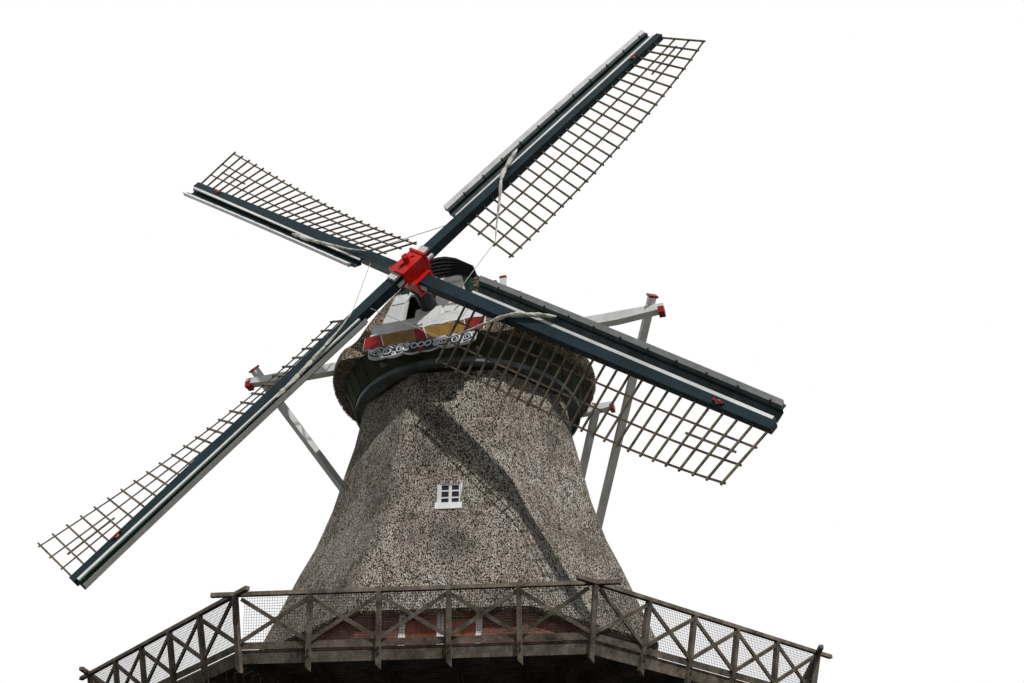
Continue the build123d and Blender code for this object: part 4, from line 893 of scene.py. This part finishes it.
# Painted shade: this dark strip stands behind the openwork, where only shade would show.
shaped_strip("carving_shade_ground", across, FIELD_LOW - 0.012, carving_edge + 0.012,
             BEARD_FRONT - SEAT, BEARD_FRONT + 0.006, shade_ground_paint)
beads = [scroll(*entry) for entry in SCROLLS]
beads += [scroll(-x, y, size, 180 - start, turns, -way) for x, y, size, start, turns, way in SCROLLS]
beads += [
    bead(smooth_line(np.array(knots) * (way, 1), 30), 0.012, 0.024, 0.02) for knots in STEMS for way in (1, -1)]
closed_tubes("carved_scrolls", turned(shaft_place, beads), "cap", carving_white)

bend, round_bead = np.meshgrid(
    *(np.linspace(0, 2 * np.pi, count, endpoint=False) for count in (24, 8)), indexing="ij")
out = 0.088 + 0.024 * np.cos(round_bead)
rings = [
    np.stack([
        x + out * np.cos(bend), -1.625 + out * np.sin(bend), BEARD_FRONT + 0.012 + 0.024 * np.sin(round_bead),
    ], axis=-1) for x in (-0.2, 0.0, 0.2)
]
new_piece("carved_rings", turned(shaft_place, rings), repeated(ring_faces(24, 8, True)[:, ::-1], 3, 24 * 8),
          "cap", carving_white, smooth=True)

share, turn = np.linspace(0, 1, 14)[:, None], np.linspace(np.pi, 0, 10)
half = 0.1 * np.sin(np.pi * share) ** 0.8 * (1.15 - 0.5 * share) + 0.004
drop = np.stack(np.broadcast_arrays(
    half * np.cos(turn), -1.895 + 0.2 * share, BEARD_FRONT - SEAT + 0.35 * half * np.sin(turn)), axis=-1)
closed_tubes("carved_drop", turned(shaft_place, [drop]), "cap", red_paint)

# %% [markdown]
# ## Under the eave
# Green boards line the cone between the turning ring and the eave. Thin strips cover
# their joints, every 9 degrees round the cone, but for the gable's side. Each runs from
# the hoop's circle up to the eave's wider circle, whose middle lies 0.35 m forward.

# %% Soffit strips
EAVE_FORWARD = 0.35


def around_cap(turn):
    """Level way out of the cap at an angle. A quarter turn on, it is the way along the cap's edge."""
    return np.column_stack([np.sin(turn), -np.cos(turn), 0 * turn])


def ahead_of_hub(points):
    """How far points stand ahead of the hub, along the windshaft."""
    return (points - shaft_place[:3, 3]) @ shaft_place[:3, 2]


turns = np.linspace(0, 2 * np.pi, 40, endpoint=False)
foot = turned(cap_place, around_cap(turns) * 3.392 + (0, 0, 17.56))
head = turned(cap_place, around_cap(turns) * 3.56 + (0, -EAVE_FORWARD, 18.03))
tangent = swung(cap_place, around_cap(turns + np.pi / 2))
timbers("soffit_strips", [
    (foot[k], head[k], tangent[k], 0.045, 0.022) for k in np.flatnonzero(ahead_of_hub(head) < -1.45)
], "cap", soffit_timber)

# %% [markdown]
# ## Ends and trim of the tail and spreaders
# The long timbers that turn the cap are white with red ends. Thin sleeves close round the
# spreaders' sloping tips. Flat red covers keep the rain out of the end grain of the
# braces, of the lever and of its two guide posts.

# %% Red ends
SLACK = 0.006
FRONT_SPREADER, REAR_SPREADER = (6.43, 0.28, -2.04, 18.67), (4.03, 0.26, 2.0, 18.2)
BRACE_HEADS = ((5.95, -1.89, 18.73, 9.5, 0.5), (3.4, 2.13, 18.14, 11.6, 0.25))
POLE_TOP, POLE_LOW, POLE_FROM, POLE_TO = 17.85, 8.9, 3.935, 7.23


def sleeve(half, size, y, z, wide):
    """Sleeve over a spreader's end: a box just larger than its section, whose top slopes to the tip."""
    slope, rise, low = (size / 2 - size / 8) / (half * 0.2), z + size / 8 + SLACK, z - size / 2 - SLACK
    back, front = y - size / 2 - SLACK, y + size / 2 + SLACK
    for way in (-1, 1):
        rings = [
            [(way * x, back, low), (way * x, front, low), (way * x, front, top), (way * x, back, top)]
            for x, top in ((half - wide, rise + slope * wide), (half + SLACK, rise))
        ][::way]
        yield rings[0] + rings[1]


def brace_cap(side, half, y, z, foot_height, past):
    """Row of a brace's cover: on the line from the tail pole to the spreader, as far past its end."""
    share = (POLE_TOP - foot_height) / (POLE_TOP - POLE_LOW)
    foot = np.array([side * 0.165, POLE_FROM + share * (POLE_TO - POLE_FROM), foot_height])
    head = np.array([side * half, y, z])
    run = unit(head - foot)
    tip = head + run * past
    return tip - run * 0.004, tip + run * 0.05, np.cross((0, 0, 1), run), 0.27, 0.27


sleeves = [*sleeve(*FRONT_SPREADER, 0.16), *sleeve(*REAR_SPREADER, 0.12)]
boxes("spreader_ends", turned(cap_place, sleeves), "cap", red_paint)
caps = [brace_cap(side, *head) for side in (-1, 1) for head in BRACE_HEADS]
timbers("brace_caps", carried(caps, cap_place), "cap", red_paint)
slabs("guide_caps", [
    oblong(x - width / 2 - SLACK, x + width / 2 + SLACK, top - 0.07, top + 0.012)
    for x, width, top in ((0.78, 0.2, 22.3), (1.1, 0.21, 22.42))
], -0.052, 0.052, red_paint, cap_place @ placed((0, 0, 0), (1, 0, 0), (0, -1, 0)))
lever_end = ((1.655, 0, 21.55), (1.706, 0, 21.55), (0, 1, 0), 0.142, 0.272)
timbers("lever_end", carried([lever_end], cap_place), "cap", red_paint)

# %% [markdown]
# ## The sails' edges
# The leading boards are a shallow trough between two white edges, their grey-green paint
# darkened toward the shade in the trough. The inner edge is a narrow strip beside the
# stock. The outer one is wider, held by iron clips, and leans forward to catch the wind,
# so it is bright on one sail and shaded on another.
# Both follow the twist, which turns the sail's heel by 26 degrees and flattens its tip.
# Near each tip one short lath stiffens the frame, and a red cleat holds a turned line.

# %% White edges, clips, nails and cleats of the sails
HEEL, TIP, STOCK_TIP = 2.16, 11.519, 11.58
BOARD_FROM, BOARD_TO, STATIONS = 2.155, 11.47, 22
BAR_OUT = np.linspace(HEEL, TIP, 26)
STRIPS = (
    ("inner_white_strips", white_paint, ((0.002, 0.056), (0.088, 0.056), (0.088, 0.106), (0.002, 0.106))),
    ("outer_white_cappings", white_paint, ((0.376, 0.08), (0.476, 0.08), (0.476, 0.245), (0.376, 0.166))),
    ("outer_boards", trough_paint_with_shade, ((0.314, 0.081), (0.375, 0.081), (0.375, 0.156), (0.314, 0.112))),
    ("trough_boards", trough_paint_with_shade, ((0.12, -0.062), (0.306, -0.006), (0.306, 0.004), (0.12, -0.052))),
)


def sail_twist(out):
    """Angle of the lattice: 25.9 degrees at the heel, plus 10 s less 40.4 s squared out to the tip."""
    share = (out - HEEL) / (TIP - HEEL)
    return np.radians(25.9 + 10.0 * share - 40.4 * share**2)


def stock_half(out):
    """Half the stock's width: 0.175 m as far as 0.85 m out, then an even taper to 0.115 m."""
    return 0.175 - 0.06 * np.clip(out - 0.85, 0, None) / (STOCK_TIP - 0.85)


def board_spot(out, aside, high):
    """Point of the leading boards: aside from the stock's edge, lifted by the lean times that way."""
    return np.stack([out, stock_half(out) + aside, high + aside * np.tan(0.4 * sail_twist(out))], axis=-1)


def lattice_spot(out, share, behind=0.0):
    """Point of the lattice: share of the way from the stock to the hem, and behind its bars' middle."""
    turn = sail_twist(out)
    aside = (1.79 - 0.04 * (out - HEEL) / (TIP - HEEL)) * share
    return np.stack([
        out, behind * np.sin(turn) - aside * np.cos(turn), -aside * np.sin(turn) - behind * np.cos(turn),
    ], axis=-1)


def on_sails(points):
    """The same points in each sail's own directions."""
    return np.array([turned(place, points) for place in SAILS])


out = np.linspace(BOARD_FROM, BOARD_TO, STATIONS)
for name, finish, section in STRIPS:
    edge = np.stack([board_spot(out, *corner) for corner in section], axis=1)
    bars_along(name, on_sails(edge), "rotor", finish)
out = np.arange(2.9, 11.4, 0.83)
clips = [
    (start, end, (1, 0, 0), 0.045, 0.014)
    for start, end in zip(board_spot(out, 0.318, 0.126), board_spot(out, 0.398, 0.192))
]
timbers("capping_clips", carried(clips, *SAILS), "rotor", black_iron)

out = np.array([BAR_OUT[21] - 0.12, BAR_OUT[24] + 0.1])
lath = (*lattice_spot(out, 0.52, 0.034), (lattice_spot(out, 0.6) - lattice_spot(out, 0.5))[0], 0.05, 0.028)
cleat = ((10.06, -0.02, 0.14), (10.34, -0.02, 0.14), (0, 1, 0), 0.055, 0.06)
turn = np.linspace(0, 6 * np.pi, 40)
coil = np.column_stack([
    10.2 + 0.055 * np.cos(turn), 0.05 * np.sin(turn) - 0.02, 0.118 + 0.026 * turn / turn[-1]])
timbers("short_tip_laths", carried([lath], *SAILS), "rotor", lath_timber)
timbers("line_cleats", carried([cleat], *SAILS), "rotor", red_paint)
closed_tubes("cleat_lines", on_sails(tube_points(coil, 0.01)), "rotor", rope_fibre)
bolts("lath_nails", [
    nail for share in (0.36, 0.68, 1.0) for nail in zip(
        lattice_spot(BAR_OUT, share, 0.06), lattice_spot(BAR_OUT, share, 1.0) - lattice_spot(BAR_OUT, share))
], SAILS, "rotor", 0.026, 0.008)

# %% [markdown]
# ## Poll end
# The cast-iron poll end carries both stocks, one behind the other, each held by wooden
# wedges. Rivets show along its collars. They are six-sided, so the helper that makes the
# stage's bolts makes them too.

# %% Rivets of the poll end
COLLAR_OUT, COLLAR_SIDE, COLLAR_FACE = 0.4125, 0.315, 0.29
rivets = []
for way in (-1, 1):
    rivets += [((way * COLLAR_OUT, y, COLLAR_FACE), (0, 0, 1)) for y in (-0.24, -0.12, 0.0, 0.12, 0.24)]
    rivets += [((way * COLLAR_OUT, -COLLAR_SIDE, z), (0, -1, 0)) for z in (-0.12, 0.02, 0.16)]
bolts("poll_rivets", rivets, SAILS[:1], "rotor", 0.036, 0.012, red_iron)

# %% [markdown]
# ## Furled sailcloths
# With little wind to catch, each sailcloth is rolled up like a rope and laid along its
# stock, then across it to the heel of the sail. A roll of cloth is not round: the
# twist leaves two ridges that wind round it. It swells between its ties and is pinched
# where thin line holds it.

# %% Twisted rolls, their ties and the heel ropes
CROSSING = (
    (5.1, 0.395, 0.236), (4.5, 0.2, 0.226), (3.9, -0.06, 0.218), (3.25, -0.48, 0.005),
    (2.6, -0.85, -0.27), (2.15, -1.15, -0.42),
)
HUGGING = (
    (5.25, 0.395, 0.222), (4.5, 0.35, 0.217), (3.9, 0.28, 0.218), (2.8, 0.12, 0.222),
    (2.1, -0.06, 0.226),
)
CLOTH_ROUTES = (CROSSING, HUGGING, HUGGING, CROSSING)
ROLL_RADIUS, TIE_RADIUS, TIE_STEP = 0.06, 0.054, 0.52


def thinning(share):
    """What the roll keeps of its radius: all of it at first, and 38 % at the heel."""
    return 1 - 0.62 * np.clip((share - 0.3) / 0.55, 0, 1)


def twisted_roll(path, length, ties, around=20):
    """Rings of the roll's radius plus two winding ridges, less a pinch at each tie, thinning to the heel."""
    far = length[:, None]
    turn = np.linspace(0, 2 * np.pi, around, endpoint=False)
    twist = 2 * np.pi * far / 0.62
    ridge = 0.15 * np.cos(2 * turn - twist) + 0.07 * np.cos(5 * turn - 3.1 * twist)
    crumple = 0.05 * np.sin(9 * turn + 4.7 * far) * np.sin(11.0 * far + 2 * turn)
    pinch = 1 - 0.28 * np.exp(-(((far - ties) / 0.07) ** 2)).sum(1)
    ends = np.clip(np.minimum(length, length[-1] - length) / 0.22, 0.25, 1) ** 0.6 * thinning(length / length[-1])
    ends[[0, -1]] = 0.06
    size = ROLL_RADIUS * (1 + ridge + crumple) * (pinch * ends)[:, None]
    return path[:, None] + (tube_points(path, 1.0, around) - path[:, None]) * size[:, :, None]


def tie_coil(path, length, tie):
    """Thin line wound about twice round the roll: two ways across times cosine and sine, drawn along it."""
    spot, next_spot = (np.array([np.interp(far, length, axis) for axis in path.T]) for far in (tie, tie + 0.05))
    run = unit(next_spot - spot)
    first = unit(np.cross(run, (0, 0, 1.0)))
    turn = np.linspace(0, 4.2 * np.pi, 30)[:, None]
    ring = (first * np.cos(turn) + np.cross(first, run) * np.sin(turn)) * TIE_RADIUS * thinning(tie / length[-1])
    drawn = np.linspace(-0.016, 0.016, 30)[:, None] + 0.01 * np.sin(turn / 2)
    return tube_points(spot + ring + run * drawn, 0.006, 6, run)


rolls, coils, ropes = [], [], []
share = np.linspace(0, 1, 9)[:, None]
for number, route in enumerate(CLOTH_ROUTES):
    path = smooth_line(np.array(route), 150)
    length = np.concatenate([[0], np.cumsum(np.linalg.norm(np.diff(path, axis=0), axis=1))])
    ties = np.arange(0.35, length[-1] - 0.2, TIE_STEP)
    rolls.append(turned(SAILS[number], twisted_roll(path, length, ties)))
    coils += [turned(SAILS[number], tie_coil(path, length, tie)) for tie in ties]
    heel, anchor = turned(SAILS[number], path[-1]), turned(SAILS[number - 1], (1.72, 0.19, 0.1))
    ropes.append(tube_points(heel * (1 - share) + anchor * share, 0.01))
for name, group in (("cloth_outer", rolls[::2]), ("cloth_inner", rolls[1::2])):
    roll = closed_tubes("furled_" + name, group, "rotor", canvas)
    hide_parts(name)
closed_tubes("cloth_ties", coils, "rotor", rope_fibre)
closed_tubes("heel_ropes", ropes, "rotor", rope_fibre)

# %% [markdown]
# ## Loose reed at the edges
# The body of the thatch is dense enough to be a surface. Only at its edges do single
# reeds show, so short straws stand along the smock's foot, over the windows and round
# the eave of the cap. Each is a thin timber with its own slant.

# %% Reed ends
def straws(name, spots, ways, body, finish, long, seed):
    """Straws from spots along ways, each up to a third longer or shorter and turned a little aside."""
    chance = np.random.default_rng(seed)
    slant = unit(unit(ways) + chance.normal(0, 0.16, ways.shape))
    reach = slant * long * chance.uniform(0.65, 1.35, (len(spots), 1))
    across = np.cross(slant, chance.normal(0, 1, ways.shape))
    thick = 0.009 * chance.uniform(0.7, 1.4, len(spots))
    return timbers(name, zip(spots - reach * 0.4, spots + reach * 0.6, across, thick, thick), body, finish)


def edge_of_reeds(place, x, height, out, way):
    """Spots along a level edge of a wall's thatch, and the same way for each."""
    return turned(place, np.column_stack(np.broadcast_arrays(x, height, out))), swung(place, [way] * len(x))


chance = np.random.default_rng(11)
FOOT_OUT, FOOT_REEDS, WINDOW_REEDS, CAP_REEDS = FLAT * THATCH_CORNERS[0], 420, 90, 3600
WINDOW_EDGE = SMOCK_SILL + SMOCK_HIGH + 0.01
edges = []
for wall in WALLS:
    half = FOOT_OUT * HALF_SIDE - 0.12
    x, inset = chance.uniform(-half, half, FOOT_REEDS), chance.uniform(0.0, 0.16, FOOT_REEDS)
    edges.append(edge_of_reeds(wall, x, THATCH_HEIGHTS[0] + 0.015, FOOT_OUT - 0.01 - inset, (0, -1.0, 0.25)))
for wall in WALLS[::2]:
    x = chance.uniform(-0.36, 0.36, WINDOW_REEDS)
    edges.append(edge_of_reeds(wall, x, WINDOW_EDGE, thatch_face(WINDOW_EDGE) - 0.005, (0, -1.0, 0.4)))
straws("smock_reed_ends", *map(np.concatenate, zip(*edges)), "tower", thatch, 0.11, 5)

turn, rise = chance.uniform(0, 2 * np.pi, CAP_REEDS), chance.uniform(0, 1, CAP_REEDS)[:, None]
spots = around_cap(turn) * (3.788 + 0.12 * rise) + (0, -EAVE_FORWARD, 18.05) + rise * (0, 0, 0.25)
spots = turned(cap_place, spots)
ways = swung(cap_place, around_cap(turn) * 0.55 - (0, 0, 1.0))
kept = ahead_of_hub(spots) < -1.66
straws("cap_reed_ends", spots[kept], ways[kept], "cap", cap_reed, 0.09, 6)

# %% [markdown]
# ## Floor, background and light
# The mill stands on a plain pale floor under soft light. The world is white only to the
# camera, and to gloss and glass, and gives the mill itself an even, milder light. The
# floor throws little light back up, so the stage's underside stays dark. The sun stands
# to the right of the camera, where the sail's long shadow on the thatch puts it.

# %% Floor, background and lamps
FLOOR_HALF, FLOOR_LOW = 400, -0.004
floor_paint, tree = start_finish("pale floor", (0.8, 0.8, 0.79), 0.9, 0.5)
seen = node(tree, "LightPath").outputs["Is Camera Ray"]
fill(tree, tree.nodes["Principled BSDF"].inputs["Base Color"],
     blended(tree, seen, (0.12, 0.12, 0.11), (0.8, 0.8, 0.79)))
mesh = bpy.data.meshes.new("floor")
corners = oblong(-FLOOR_HALF, FLOOR_HALF, -FLOOR_HALF, FLOOR_HALF)
mesh.from_pydata([(*corner, FLOOR_LOW) for corner in corners], [], [(0, 1, 2, 3)])
mesh.materials.append(floor_paint)
added("floor", mesh)

world = bpy.data.worlds.new("studio")
world.use_nodes = True
bpy.context.scene.world = world
sky = world.node_tree
rays = node(sky, "LightPath").outputs
gloss = maths(sky, "MAXIMUM", rays["Is Glossy Ray"], rays["Is Transmission Ray"])
seen = maths(sky, "MAXIMUM", rays["Is Camera Ray"], gloss)
backdrop = sky.nodes["Background"].inputs
fill(sky, backdrop["Color"], blended(sky, seen, (0.84, 0.92, 1.0), (1.0, 1.0, 1.0)))
strength = node(sky, "MapRange", {"Value": seen, "To Min": 0.34, "To Max": 1.0}).outputs["Result"]
fill(sky, backdrop["Strength"], strength)

for name, strength, width, from_way in (
    ("sun", 2.95, 0.9, (0.378, -0.583, 0.719)), ("fill", 0.25, 40.0, (-0.7, 0.6, 0.35)),
):
    sun = bpy.data.lights.new(name, "SUN")
    sun.energy, sun.angle = strength, math.radians(width)
    added(name, sun).rotation_euler = Vector(from_way).to_track_quat("Z", "Y").to_euler()
bpy.context.scene.view_settings.view_transform = "Standard"
